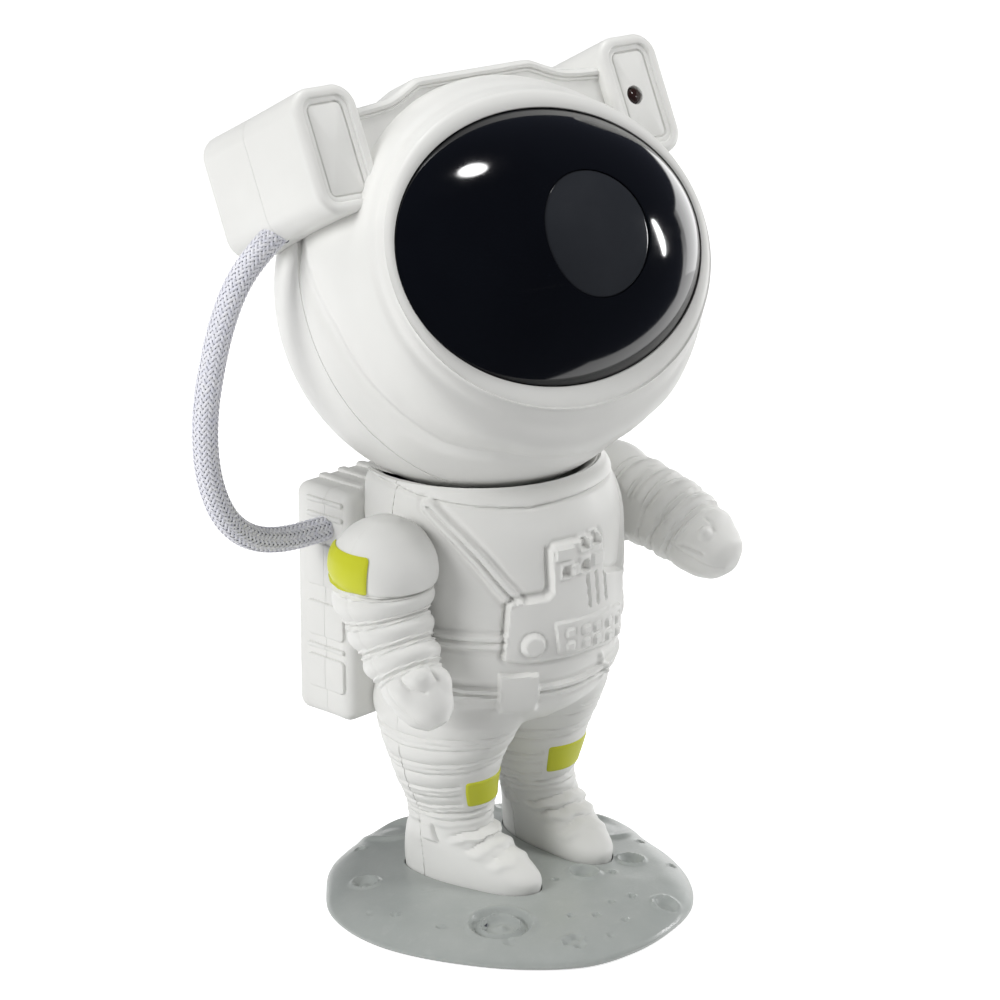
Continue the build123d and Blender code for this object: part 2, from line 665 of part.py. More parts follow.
def buttons():
    """Three push buttons: a cap through the shell, a flange inside it and a stem to the switch."""
    plunger = BOARD_Y + BOARD_THICK + SWITCH_SIZE[1] + SWITCH_PLUNGER
    for name, x in BUTTON_X.items():
        surface = math.sqrt(HEAD_R**2 - x**2 - BUTTON_Z**2)
        cap = rod_y((x, BUTTON_Z), FLANGE_Y[0], surface + BUTTON_PROUD, BUTTON_R)
        cap = fillet(cap.faces().sort_by(Axis.Y)[-1].edges(), 0.8)
        flange = rod_y((x, BUTTON_Z), FLANGE_Y[0], FLANGE_Y[1], FLANGE_R)
        stem = rod_y((x, BUTTON_Z), plunger + BUTTON_TRAVEL + 0.05, FLANGE_Y[0] + 0.1, 2.0)
        keep_head(name, cap + flange + stem)


def keeper_plate():
    """Steel cap inside the helmet's lowest point, which the neck magnet holds."""
    down = HEAD.inverse() * Pos(HEAD_CENTRE[0], HEAD_CENTRE[1], HEAD_CENTRE[2] - HEAD_R)
    outer_r = HEAD_R - HELMET_WALL - 0.1
    cap = Sphere(outer_r) - Sphere(outer_r - KEEPER_WALL)
    return cap & rod((0, 0, 0), tuple(down.position), KEEPER_R)


# Body --------------------------------------------------------------------------------------------

def torso_solid(inset):
    """Torso from the hips to the collar."""
    sections = []
    for z, y, half_x, half_y in TORSO_SECTIONS:
        low = inset if z == TORSO_SECTIONS[-1][0] else 0
        sections.append(Pos(0, y, z + low) * Ellipse(half_x - inset, half_y - inset))
    solid = loft(sections)
    return solid & block((-60, -60, 0), (60, PACK_Y[0] - inset, 130))


def boot_x(side):
    return BOOT_CENTRE_X + side * BOOT_SPREAD


def leg_solid(side, inset):
    turn = Rot(0, 0, side * -BOOT_TOE_IN)
    sections = [
        Pos(middle + side * spread, y, z) * turn * Ellipse(half_x - inset, half_y - inset)
        for z, middle, spread, y, half_x, half_y in LEG_SECTIONS
    ]
    return loft(sections) & block((-60, -60, 0), (60, PACK_Y[0] - inset, 130))


def boot_solid(side, grow):
    sections = [
        Pos(0, y, SOLE_Z + z) * Ellipse(half_x + grow, half_y + grow)
        for z, y, half_x, half_y in BOOT_SECTIONS
    ]
    return Pos(boot_x(side), 0, 0) * Rot(0, 0, side * -BOOT_TOE_IN) * loft(sections)


def boot_screw_points():
    """Two screws up into each boot, one on each side of the parting plane."""
    points = []
    for side in (-1, 1):
        for y in BOOT_SCREW_Y:
            turn = math.radians(side * -BOOT_TOE_IN)
            points.append((boot_x(side) - y * math.sin(turn), y * math.cos(turn)))
    return points


def leg_screw_points():
    """One screw in each calf, at the height of a listed section."""
    z, middle, spread = LEG_SECTIONS[LEG_SCREW_SECTION][:3]
    return [(middle + side * spread, z) for side in (-1, 1)]


def body_outer():
    """Torso, legs and boots as one outer form, hollowed above the collar for the head."""
    body = torso_solid(0)
    for side in (-1, 1):
        body = body + leg_solid(side, 0) + boot_solid(side, 0)
    return body - Pos(*HEAD_CENTRE) * Sphere(RELIEF_R)


def shoulder_boss(side):
    """Boss inside the torso that carries a shoulder pin."""
    _, y, z = SHOULDER
    outer_x = ARM_INNER_X - 0.3
    return rod((side * (outer_x - SHOULDER_WALL), y, z), (side * outer_x, y, z), SHOULDER_BOSS_R)


def body_shells():
    outer = body_outer()
    inner = torso_solid(BODY_WALL)
    core = torso_solid(BODY_WALL / 2)
    for side in (-1, 1):
        inner = inner + leg_solid(side, BODY_WALL)
        core = core + leg_solid(side, BODY_WALL / 2)
    inner = inner & block((-60, -60, LEG_FLOOR_Z), (60, 60, 130))
    shell = outer - inner
    _, shoulder_y, shoulder_z = SHOULDER
    for side in (-1, 1):
        pin_hole = rod((side * 20, shoulder_y, shoulder_z), (side * 40, shoulder_y, shoulder_z), PIN_R + PIN_FIT)
        shell = shell + shoulder_boss(side) - pin_hole
    for x, z in BODY_SCREW_POINTS:
        shell += rod_y((x, z), -30, 30, BOSS_R + 0.6) & core
        shell -= rod_y((x, z), -2.0, 30, SCREW_R + SCREW_FIT)
        shell -= rod_y((x, z), BODY_SCREW_SEAT_Y, 30, SCREW_HEAD_R + 0.2)
    for x, z in leg_screw_points():
        shell += rod_y((x, z), -15, 25, BOSS_R) & core
        shell -= rod_y((x, z), -1.0, 30, SCREW_R + SCREW_FIT)
        shell -= rod_y((x, z), LEG_SCREW_SEAT_Y, 30, SCREW_HEAD_R + 0.2)
    for x, z in PACK_MOUNT_POINTS:
        shell += rod_y((x, z), 16, PACK_Y[0], BOSS_R) & core
        shell -= rod_y((x, z), 17, PACK_Y[0], SCREW_R + SCREW_FIT)
    for x, y in boot_screw_points():
        shell -= rod((x, y, 0), (x, y, SOLE_Z + 9.5), SCREW_R + SCREW_FIT)
    front = shell & block((-60, -60, 0), (60, PARTING_Y, 130))
    back = shell & block((-60, PARTING_Y, 0), (60, 60, 130))
    PARTS["body_front_shell"] = largest(front)
    PARTS["body_back_shell"] = largest(back)
    screws = [screw_y(point, BODY_SCREW_SEAT_Y, -1.0) for point in BODY_SCREW_POINTS]
    screws += [screw_y(point, LEG_SCREW_SEAT_Y, 0.0) for point in leg_screw_points()]
    PARTS["body_screws"] = group(screws)


def neck_pieces():
    """Dished seat in the collar with the magnet that turns with the head."""
    centre = Pos(*HEAD_CENTRE)
    dish = centre * (Sphere(RELIEF_R + SEAT_WALL) - Sphere(RELIEF_R))
    dish = dish & torso_solid(BODY_WALL + 0.15)
    x, y, z = HEAD_CENTRE
    foot = rod((x, y, MAGNET_Z[0] - 2.5), (x, y, z - HEAD_R + 4), SEAT_R)
    seat = dish + (foot - centre * Sphere(HEAD_R + SEAT_GAP))
    seat = seat - rod((x, y, MAGNET_Z[0] - 0.1), (x, y, z), MAGNET_BORE_R)
    seat = seat & block((-60, -60, 0), (60, PACK_Y[0] - BODY_WALL - 0.15, 130))
    PARTS["neck_seat"] = largest(seat)
    PARTS["neck_magnet"] = rod((x, y, MAGNET_Z[0]), (x, y, MAGNET_Z[1]), MAGNET_R)


# Arms --------------------------------------------------------------------------------------------

def arm_point(outward, forward, down):
    """Point of an arm, built on the right."""
    x, y, z = SHOULDER
    return Vector(-(x + outward), y - forward, z - down)


def arm_solid(name, inset):
    """Arm as one loft of circles along its centre line."""
    listed = ARM_SECTIONS[name]
    centres = [arm_point(*section[:3]) for section in listed]
    sections = []
    for index, (centre, section) in enumerate(zip(centres, listed)):
        before = centres[max(index - 1, 0)]
        after = centres[min(index + 1, len(centres) - 1)]
        along = after - before
        radius = section[3] - inset
        if radius > 1.2:
            plane = Plane(origin=centre, x_dir=Vector(1, 0, 0).cross(along), z_dir=along)
            sections.append(plane * Circle(radius))
    return loft(sections)


def arm_front_prism(name):
    """Everything in front of and above the arm's centre line, for parting it along its side."""
    points = [arm_point(*section[:3]) for section in ARM_SECTIONS[name]]
    start = points[0] + (points[0] - points[1]).normalized() * 40
    end = points[-1] + (points[-1] - points[-2]).normalized() * 30
    line = [(point.Y, point.Z) for point in [start, *points, end]]
    far_y, top_z = -120, SHOULDER[2] + 90
    outline = Polygon(*line, (far_y, end.Z), (far_y, top_z), (start.Y, top_z), align=None)
    return extrude(Plane.YZ.offset(-80) * outline, amount=60, dir=(1, 0, 0))


def arms():
    _, y, z = SHOULDER
    pin_end = ARM_INNER_X + PIN_LENGTH - 4.0
    head_x = ARM_INNER_X - 0.3 - SHOULDER_WALL - WASHER - 0.05
    pin = rod((-head_x, y, z), (-pin_end + 0.2, y, z), PIN_R)
    pin += rod((-head_x + PIN_HEAD, y, z), (-head_x, y, z), PIN_HEAD_R)
    washer_x = head_x + 0.03
    washer = rod((-washer_x, y, z), (-washer_x - WASHER, y, z), WASHER_R)
    washer -= rod((-washer_x, y, z), (-washer_x - WASHER, y, z), PIN_R + PIN_FIT)
    PARTS["shoulder_washers"] = group([washer, mirror(washer, about=Plane.YZ)])
    for name in ARM_SECTIONS:
        outer = arm_solid(name, 0) & block((-90, -90, 0), (-ARM_INNER_X, 90, 200))
        inner = arm_solid(name, ARM_WALL) & block((-90, -90, 0), (-ARM_INNER_X - ARM_WALL, 90, 200))
        shell = outer - inner
        shell += rod((-ARM_INNER_X, y, z), (-pin_end - 1.5, y, z), PIN_R + 3.0) & outer
        shell -= rod((-ARM_INNER_X + 1, y, z), (-pin_end, y, z), PIN_R + SCREW_FIT)
        prism = arm_front_prism(name)
        side = name.split("_")[0]
        pieces = {
            f"{name}_front": largest(shell & prism),
            f"{name}_back": largest(shell - prism),
            f"{side}_shoulder_pin": pin,
        }
        for node, piece in pieces.items():
            PARTS[node] = mirror(piece, about=Plane.YZ) if side == "left" else piece


# Backpack and hose -------------------------------------------------------------------------------

def backpack():
    low = (-PACK_HALF_WIDTH, PACK_Y[0], PACK_Z[0])
    high = (PACK_HALF_WIDTH, PACK_Y[1], PACK_Z[1])
    outer = block(low, high)
    outer = fillet(outer.edges(), PACK_EDGE_R)
    inner = block([v + PACK_WALL for v in low], [v - PACK_WALL for v in high])
    inner = fillet(inner.edges(), PACK_EDGE_R - PACK_WALL)
    shell = outer - inner
    x, y, z = HOSE_LOWER[0]
    shell += rod((-PACK_HALF_WIDTH, y, z), (x + GROMMET + 1.5, y, z), HOSE_BOSS_R) & outer
    shell -= rod((-PACK_HALF_WIDTH - 1, y, z), (x + GROMMET, y, z), HOSE_BORE_R)
    for point in PACK_COVER_POINTS:
        shell += rod_y(point, PACK_Y[0], PACK_Y[1], BOSS_R + 0.6) & outer
        shell -= rod_y(point, PACK_Y[0] + 2.5, PACK_Y[1], SCREW_R + SCREW_FIT)
        shell -= rod_y(point, PACK_COVER_SEAT_Y, PACK_Y[1], SCREW_HEAD_R + 0.2)
    for point in PACK_MOUNT_POINTS:
        shell -= rod_y(point, PACK_Y[0], PACK_Y[0] + PACK_WALL, SCREW_R + 0.2)
    PARTS["backpack_front_shell"] = largest(shell & block((-60, 0, 0), (60, PACK_SEAM_Y, 130)))
    PARTS["backpack_back_shell"] = largest(shell & block((-60, PACK_SEAM_Y, 0), (60, 60, 130)))
    cover = [screw_y(point, PACK_COVER_SEAT_Y, PACK_Y[0] + 3.5) for point in PACK_COVER_POINTS]
    PARTS["backpack_cover_screws"] = group(cover)
    mount = [screw_y(point, PACK_Y[0] + PACK_WALL, 18.0) for point in PACK_MOUNT_POINTS]
    PARTS["backpack_mount_screws"] = group(mount)
    PARTS["hose_grommet_backpack"] = rod((x, y, z), (x + GROMMET, y, z), GROMMET_R)


def hose(name, route):
    """Tube along straight runs joined by tangent arcs."""
    points = [Vector(*point) for point in route]
    radii = []
    for before, here, after in zip(points, points[1:], points[2:]):
        first, second = here - before, after - here
        half_turn = math.radians(first.get_angle(second)) / 2
        radii.append(0.45 * min(first.length, second.length) / math.tan(half_turn))
    path = FilletPolyline(*points, radius=radii, close=False)
    section = Plane(origin=points[0], z_dir=points[1] - points[0]) * Circle(HOSE_D / 2)
    tube = sweep(section, path=path)
    expected = math.pi * (HOSE_D / 2) ** 2 * path.length
    print(name, "radii", [round(r, 1) for r in radii], "volume ratio", round(tube.volume / expected, 4))
    PARTS[name] = tube


# Base --------------------------------------------------------------------------------------------

def moon_base():
    rim = Spline(*BASE_RIM, periodic=True)
    slab = extrude(Pos(0, 0, BASE_BOTTOM_Z) * make_face(rim), amount=12)
    dome = Pos(0, 0, BASE_CROWN_Z - BASE_DOME_R) * Sphere(BASE_DOME_R)
    base = slab & dome
    base -= rod((0, 0, 0), (0, 0, BASE_ROOF_Z), BASE_POCKET_R)
    for side in (-1, 1):
        foot = boot_solid(side, BOOT_RECESS_GAP)
        base -= foot
    for x, y in plate_screw_points():
        base += rod((x, y, PLATE_Z[1]), (x, y, BASE_ROOF_Z + 0.5), BOSS_R)
        base -= rod((x, y, 0), (x, y, BASE_ROOF_Z + 1.4), SCREW_R + SCREW_FIT)
    for x, y in boot_screw_points():
        base -= rod((x, y, 0), (x, y, 12), SCREW_R + 0.2)
    PARTS["moon_base"] = largest(base)
    PARTS["boot_screws"] = group([screw_up(x, y, BASE_ROOF_Z, SOLE_Z + 9.0) for x, y in boot_screw_points()])


def plate_screw_points():
    turn = 2 * math.pi / PLATE_SCREW_COUNT
    return [
        (PLATE_SCREW_RADIUS * math.sin(i * turn), PLATE_SCREW_RADIUS * math.cos(i * turn))
        for i in range(PLATE_SCREW_COUNT)
    ]


def base_plate():
    plate = rod((0, 0, PLATE_Z[0]), (0, 0, PLATE_Z[1]), BASE_POCKET_R - PLATE_GAP)
    screws = []
    for x, y in plate_screw_points():
        plate -= rod((x, y, 0), (x, y, PLATE_Z[0] + 0.6), SCREW_HEAD_R + 0.3)
        plate -= rod((x, y, 0), (x, y, PLATE_Z[1]), SCREW_R + 0.2)
        screws.append(screw_up(x, y, PLATE_Z[0] + 0.6, BASE_ROOF_Z + 1.0) & block((-60, -60, BASE_BOTTOM_Z), (60, 60, 20)))
    PARTS["base_bottom_plate"] = plate
    PARTS["base_plate_screws"] = group(screws)
    PARTS["anti_slip_pad"] = rod((0, 0, 0), (0, 0, PLATE_Z[0]), PAD_R)


def build_head():
    keep_head("helmet_front_shell", helmet_front_shell())
    keep_head("helmet_back_shell", helmet_back_shell())
    screws = [screw_y(centre, 12.0, -6.0) for centre in helmet_screw_points()]
    keep_head("helmet_screws", group(screws))
    ear_pods()
    keep_head("brow_band", brow_band())
    visor_pieces()
    keep_head("ir_receiver", infrared_receiver())
    keep_head("optics_frame", optics_frame())
    back = FRAME_FRONT_Y + FRAME_PLATE
    keep_head("frame_screws", group([screw_y(point, back, -28.0) for point in frame_screw_points()]))
    drive_train()
    lamp_pieces()
    control_pieces()
    buttons()
    keep_head("head_keeper_plate", keeper_plate())


build_head()
body_shells()
neck_pieces()
arms()
backpack()
hose("umbilical_hose_lower", HOSE_LOWER)
hose("umbilical_hose_upper", HOSE_UPPER)
moon_base()
base_plate()

os.makedirs("parts", exist_ok=True)
for name, shape in PARTS.items():
    export_step(shape, f"parts/{name}.step")
print(len(PARTS), "nodes written")
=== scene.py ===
import json
import math

import bmesh
import bpy
import numpy as np
from mathutils import Matrix, Vector

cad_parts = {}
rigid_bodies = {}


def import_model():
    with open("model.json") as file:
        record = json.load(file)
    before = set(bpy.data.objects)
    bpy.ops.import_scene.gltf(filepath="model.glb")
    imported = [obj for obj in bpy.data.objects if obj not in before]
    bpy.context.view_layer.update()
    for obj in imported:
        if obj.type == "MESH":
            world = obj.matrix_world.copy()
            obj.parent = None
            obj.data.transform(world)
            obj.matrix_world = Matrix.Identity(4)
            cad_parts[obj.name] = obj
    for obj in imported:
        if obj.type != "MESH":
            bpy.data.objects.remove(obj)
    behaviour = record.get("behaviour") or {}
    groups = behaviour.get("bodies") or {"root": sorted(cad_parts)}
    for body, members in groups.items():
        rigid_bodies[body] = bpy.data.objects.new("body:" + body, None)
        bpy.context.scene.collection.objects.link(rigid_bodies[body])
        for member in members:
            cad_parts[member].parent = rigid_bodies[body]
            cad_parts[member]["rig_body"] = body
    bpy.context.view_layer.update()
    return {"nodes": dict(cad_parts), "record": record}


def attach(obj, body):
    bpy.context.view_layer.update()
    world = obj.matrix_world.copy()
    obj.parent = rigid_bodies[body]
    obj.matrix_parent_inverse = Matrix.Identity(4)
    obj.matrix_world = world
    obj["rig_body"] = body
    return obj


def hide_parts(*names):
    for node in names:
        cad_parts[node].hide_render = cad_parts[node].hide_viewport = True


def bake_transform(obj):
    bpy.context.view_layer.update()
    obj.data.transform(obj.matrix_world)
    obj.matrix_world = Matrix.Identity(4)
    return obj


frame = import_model()

# Lengths are written in millimetres and scaled to metres when a piece is finished.
MM = 0.001
scene = bpy.context.scene

# Camera ----------------
CAMERA_AT = Vector((-712.55, -670.49, 432.49))
CAMERA_TO = Vector((-3.56, 2.33, 112.0))
camera = bpy.data.objects.new("camera", bpy.data.cameras.new("camera"))
scene.collection.objects.link(camera)
camera.data.lens = 139.56
camera.data.sensor_width = 36.0
camera.data.clip_end = 20.0
camera.location = CAMERA_AT * MM
camera.rotation_mode = "QUATERNION"
camera.rotation_quaternion = (CAMERA_TO - CAMERA_AT).to_track_quat("-Z", "Y")
scene.camera = camera

# Sizes shared with the part ----------------
HEAD_CENTRE = Vector((0.0, 13.3, 167.7))
HEAD_R = 54.0
HEAD = (
    Matrix.Translation(HEAD_CENTRE)
    @ Matrix.Rotation(math.radians(-7.13), 4, "Z")
    @ Matrix.Rotation(math.radians(-26.55), 4, "X")
)
HELMET_SEAM_Y = 3.7
# Hood along y: y, half-width, half-height, middle z
HOOD = np.array([
    (-36.0, 51.4, 39.5, 2.3),
    (-33.0, 52.8, 43.0, 1.4),
    (-27.0, 54.4, 49.0, 0.0),
    (-18.0, 55.2, 53.3, -0.4),
    (-8.0, 55.1, 54.6, 0.0),
    (3.7, 53.87, 53.87, 0.0),
])
VISOR_CENTRE = (0.0, -10.0, 2.3)
VISOR_AXES = (58.3, 45.6, 42.6)
VISOR_RIM = (50.34, 36.78)
VISOR_BACK_Y = -33.0
WINDOW_R = 16.45
WINDOW_Z = 0.45
POD_X, POD_Z = 50.5, 38.3
POD_SIZE = (20.0, 33.3)
POD_Y = (-26.1, 19.5)
POD_CORNER = 6.5
POD_SEAM_Y = -1.5
IR_AT = (49.2, 38.4)
PARTING_Y = 11.8
COLLAR_R = 55.2
# The torso is flat where the backpack and the arms lie against it
PACK_FRONT_Y = 26.3
SIDE_LIMIT = 34.95
# Torso: height, centre y, half-width, half-depth
TORSO = np.array([
    (53.0, 8.0, 23.0, 19.0),
    (58.0, 6.8, 29.0, 25.2),
    (66.0, 6.0, 32.4, 28.8),
    (76.0, 6.0, 33.8, 30.6),
    (86.0, 7.0, 34.4, 32.0),
    (100.0, 8.5, 34.8, 33.4),
    (112.0, 10.0, 34.7, 34.4),
    (119.0, 11.5, 33.4, 33.2),
    (124.0, 12.5, 31.2, 31.0),
])
# Leg and boot: height, middle x, spread, centre y, half-width, half-length
LEG = np.array([
    (6.8, 2.4, 16.8, 2.4, 8.5, 21.4),
    (10.8, 2.4, 16.8, 2.5, 8.9, 21.6),
    (14.8, 2.4, 17.15, 4.8, 9.15, 19.0),
    (18.8, 2.4, 17.5, 7.8, 9.6, 15.2),
    (23.8, 2.1, 17.1, 9.7, 10.0, 12.1),
    (28.0, 1.4, 16.4, 10.1, 10.3, 12.4),
    (36.0, 0.6, 17.2, 10.0, 12.4, 13.8),
    (46.0, 0.2, 17.6, 9.4, 14.4, 17.2),
    (53.0, 0.0, 17.4, 8.4, 15.0, 20.6),
    (60.0, 0.0, 16.6, 7.4, 15.2, 23.4),
    (66.0, 0.0, 15.6, 6.6, 14.6, 24.6),
])
TOE_IN = math.radians(9.0)
SHOULDER = (36.0, 6.0, 103.6)
ARM_INNER_X = 35.3
# Arm sections: outward, forward and down from the shoulder, radius
ARMS = {
    "right": np.array([
        (8.3, 1.2, -12.8, 3.5), (8.3, 1.2, -10.8, 7.5), (8.3, 1.2, -6.5, 11.4), (8.4, 1.0, 0.0, 13.4),
        (8.5, 0.8, 5.5, 13.3), (8.9, 2.4, 12.5, 11.7), (9.2, 6.1, 20.2, 10.0), (9.4, 10.3, 26.6, 9.2),
        (9.4, 14.1, 31.2, 8.5), (9.3, 17.4, 35.0, 7.4), (9.2, 19.6, 37.6, 5.6), (9.2, 21.0, 39.4, 3.0),
    ]),
    "left": np.array([
        (8.3, -12.6, -0.5, 3.5), (8.3, -10.5, -0.5, 7.5), (8.3, -6.0, -0.4, 11.0), (8.4, -0.5, 0.0, 12.3),
        (8.7, 6.0, 1.0, 11.7), (9.2, 14.0, 2.2, 11.0), (9.6, 21.5, 3.8, 10.6), (9.9, 28.8, 7.0, 10.2),
        (10.1, 34.1, 9.5, 9.3), (10.2, 38.0, 11.3, 7.9), (10.3, 40.6, 12.6, 5.8), (10.4, 42.2, 13.4, 2.8),
    ]),
}
PACK_HALF = 36.5
PACK_Y = (PACK_FRONT_Y, 47.2)
PACK_Z = (50.7, 115.3)
PACK_SEAM_Y = 35.3
PACK_SIDE_Y = 35.2
# Outline of the base: x, y
BASE_RIM = np.array([
    (47.5, 2.0), (47.0, 14.0), (42.0, 28.0), (31.0, 40.0), (17.0, 48.0), (1.0, 51.5), (-14.0, 48.5),
    (-29.0, 42.5), (-40.0, 33.0), (-49.0, 22.5), (-54.0, 9.0), (-54.2, -6.0), (-49.0, -22.5),
    (-39.5, -38.6), (-26.0, -50.4), (-10.0, -53.7), (6.0, -51.8), (20.0, -46.6), (31.0, -37.0),
    (38.5, -25.0), (43.0, -12.0),
])
BASE_BOTTOM_Z = 0.5
BASE_CROWN_Z = 8.4
BASE_DOME_R = 392.0
EDGE_Z = 1.7
BASE_POCKET_R = 42.0
BASE_ROOF_Z = 4.4
HOSE_D = 7.0
HOSE_SPLIT = (-79.35, 34.1, 141.1)
HOSE_LOWER = [
    (-34.0, 35.3, 104.6), (-43.5, 35.3, 104.6), (-54.0, 35.1, 105.4), (-64.3, 34.8, 108.6),
    (-72.4, 34.6, 115.4), (-77.4, 34.4, 125.0), (-79.5, 34.2, 135.6), HOSE_SPLIT,
]
HOSE_UPPER = [
    HOSE_SPLIT, (-79.2, 34.0, 146.6), (-77.1, 33.7, 156.9), (-74.0, 33.4, 167.2),
    (-69.2, 33.1, 176.9), (-62.2, 32.9, 184.0), (-54.35, 32.55, 189.1),
]

# Closeness at which points are merged and slivers dissolved; a CAD node's is in metres
MERGE = 1e-4
SLIVER = 1e-5
NODE_MERGE = 2e-6
TINY = 1e-9

# Depth to which the shells' parting lines are drawn in
SUIT_SEAM = 0.16
PACK_SEAM = 0.15
POD_SEAM = 0.12
SLEEVE_SEAM = 0.22

# Angles over which an edge is shaded sharp
SHARP = 38.0
SHARP_CASE = 30.0
SHARP_NODE = 28.0
SHARP_ROUND = 50.0
SHARP_HOSE = 60.0


# Curves and profiles ----------------

def through(knots, values, at):
    """Smooth curve through listed values."""
    at = np.clip(at, knots[0], knots[-1])
    slope = np.gradient(values, knots, axis=0)
    index = np.clip(np.searchsorted(knots, at) - 1, 0, len(knots) - 2)
    gap = knots[index + 1] - knots[index]
    t = (at - knots[index]) / gap
    if values.ndim > 1:
        gap, t = gap[..., None], t[..., None]
    a = 2 * t**3 - 3 * t**2 + 1
    b = t**3 - 2 * t**2 + t
    c = t**3 - t**2
    after = index + 1
    return a * values[index] + b * gap * slope[index] + (1 - a) * values[after] + c * gap * slope[after]


def section(table, at):
    """Values of a table of sections at places along its first column."""
    return through(table[:, 0], table[:, 1:], at).T


def ease(t):
    """Smooth step from 0 to 1."""
    t = np.clip(t, 0.0, 1.0)
    return t * t * (3 - 2 * t)


def raised(distance, soft):
    """1 where distance is below zero, falling to 0 across a soft edge."""
    return ease(0.5 - distance / soft)


def swell(distance, width):
    """Bell curve, 1 at zero distance."""
    return np.exp(-(distance / width) ** 2)


def pick(mask, first, second):
    """Coordinates of the first point where the mask holds, of the second elsewhere."""
    return [np.where(mask, a, b) for a, b in zip(first, second)]


def signed_degrees(angle):
    """Angle in degrees from -180 to 180."""
    return (np.degrees(angle) + 180) % 360 - 180


def oval(angle, a, b, lift, stretch=1.0):
    """Point of an ellipse at an angle from the front, lifted along its normal."""
    nx, ny = np.sin(angle) / a, -np.cos(angle) / b
    length = np.hypot(nx, ny)
    return a * np.sin(angle) * stretch + nx / length * lift, -b * np.cos(angle) + ny / length * lift


def line_distance(u, v, points):
    """Distance from (u, v) to a polyline."""
    best = np.full(np.shape(u), np.inf)
    for (au, av), (bu, bv) in zip(points, points[1:]):
        du, dv = bu - au, bv - av
        t = np.clip(((u - au) * du + (v - av) * dv) / max(du * du + dv * dv, TINY), 0, 1)
        best = np.minimum(best, np.hypot(u - au - t * du, v - av - t * dv))
    return best


def area_distance(u, v, outline):
    """Signed distance to a closed outline, negative inside."""
    loop = list(outline) + [outline[0]]
    inside = np.zeros(np.shape(u), bool)
    for (au, av), (bu, bv) in zip(loop, loop[1:]):
        if av == bv:
            continue
        crosses = (av > v) != (bv > v)
        inside ^= crosses & (u < (bu - au) * (v - av) / (bv - av) + au)
    away = line_distance(u, v, loop)
    return np.where(inside, -away, away)


def box_distance(u, v, centre, half, corner):
    """Signed distance to a rounded rectangle."""
    du = np.abs(u - centre[0]) - half[0] + corner
    dv = np.abs(v - centre[1]) - half[1] + corner
    return np.hypot(np.maximum(du, 0), np.maximum(dv, 0)) + np.minimum(np.maximum(du, dv), 0) - corner


def twin_ridge(u, v, points, half_width, height):
    """Raised band with a groove along its middle."""
    soft = 0.7
    d = line_distance(u, v, points)
    band = raised(d - half_width, soft)
    groove = raised(d - 0.3, soft)
    foot = swell(d - half_width - 0.9, soft)
    return height * (band - 0.85 * groove - 0.3 * foot)


def wave(value, seed, scale):
    """Gentle repeatable unevenness."""
    return (
        np.sin(value / scale + seed) * 0.5
        + np.sin(value / scale * 2.3 + seed * 1.7) * 0.3
        + np.sin(value / scale * 4.1 + seed * 2.9) * 0.2
    )


# Mesh helpers ----------------

def wrapped(columns, rows, place):
    """Grid whose points are placed by column and row number, with its seam and poles merged."""
    bm = bmesh.new()
    bmesh.ops.create_grid(bm, x_segments=columns, y_segments=rows, size=1.0)
    flat = np.array([v.co[:2] for v in bm.verts])
    low, high = flat.min(0), flat.max(0)
    share = (flat - low) / (high - low)
    points = place(np.rint(share[:, 0] * columns), np.rint(share[:, 1] * rows))
    for vert, point in zip(bm.verts, points):
        vert.co = point
    bmesh.ops.remove_doubles(bm, verts=bm.verts, dist=MERGE)
    bmesh.ops.dissolve_degenerate(bm, edges=bm.edges, dist=SLIVER)
    bmesh.ops.recalc_face_normals(bm, faces=bm.faces)
    return bm


def as_object(bm, name):
    """Object made of a mesh, in the scene."""
    mesh = bpy.data.meshes.new(name)
    bm.to_mesh(mesh)
    bm.free()
    obj = bpy.data.objects.new(name, mesh)
    scene.collection.objects.link(obj)
    return obj


def combined(first, others, operation):
    """Boolean of one mesh with others."""
    base = as_object(first, "work")
    tools = [as_object(other, "tool") for other in others]
    for tool in tools:
        step = base.modifiers.new("step", "BOOLEAN")
        step.operation = operation
        step.solver = "MANIFOLD"
        step.object = tool
    graph = bpy.context.evaluated_depsgraph_get()
    result = bmesh.new()
    result.from_mesh(base.evaluated_get(graph).to_mesh())
    for obj in [base, *tools]:
        bpy.data.objects.remove(obj)
    bmesh.ops.remove_doubles(result, verts=result.verts, dist=MERGE)
    return result


def part_along(bm, seam_y, normal, seam):
    """The side of a closed mesh that lies against normal, with the cut closed and its edge drawn in."""
    half = bm.copy()
    geometry = half.verts[:] + half.edges[:] + half.faces[:]
    bmesh.ops.bisect_plane(
        half, geom=geometry, dist=SLIVER, plane_co=(0.0, seam_y, 0.0), plane_no=normal, clear_outer=True
    )
    rim = [e for e in half.edges if e.is_boundary]
    half.normal_update()
    verts = {v for e in rim for v in e.verts}
    way = Vector(normal)
    gap = way * 0.04
    shifts = {v: v.normal - way * v.normal.dot(way) for v in verts}
    for v, shift in shifts.items():
        v.co -= shift.normalized() * seam + gap
    bmesh.ops.triangle_fill(half, edges=rim, use_beauty=True)
    bmesh.ops.recalc_face_normals(half, faces=half.faces)
    return half


def joined(*meshes):
    """Several meshes as the loose parts of one."""
    whole = bmesh.new()
    for bm in meshes:
        mesh = bpy.data.meshes.new("loose")
        bm.to_mesh(mesh)
        bm.free()
        whole.from_mesh(mesh)
        bpy.data.meshes.remove(mesh)
    return whole


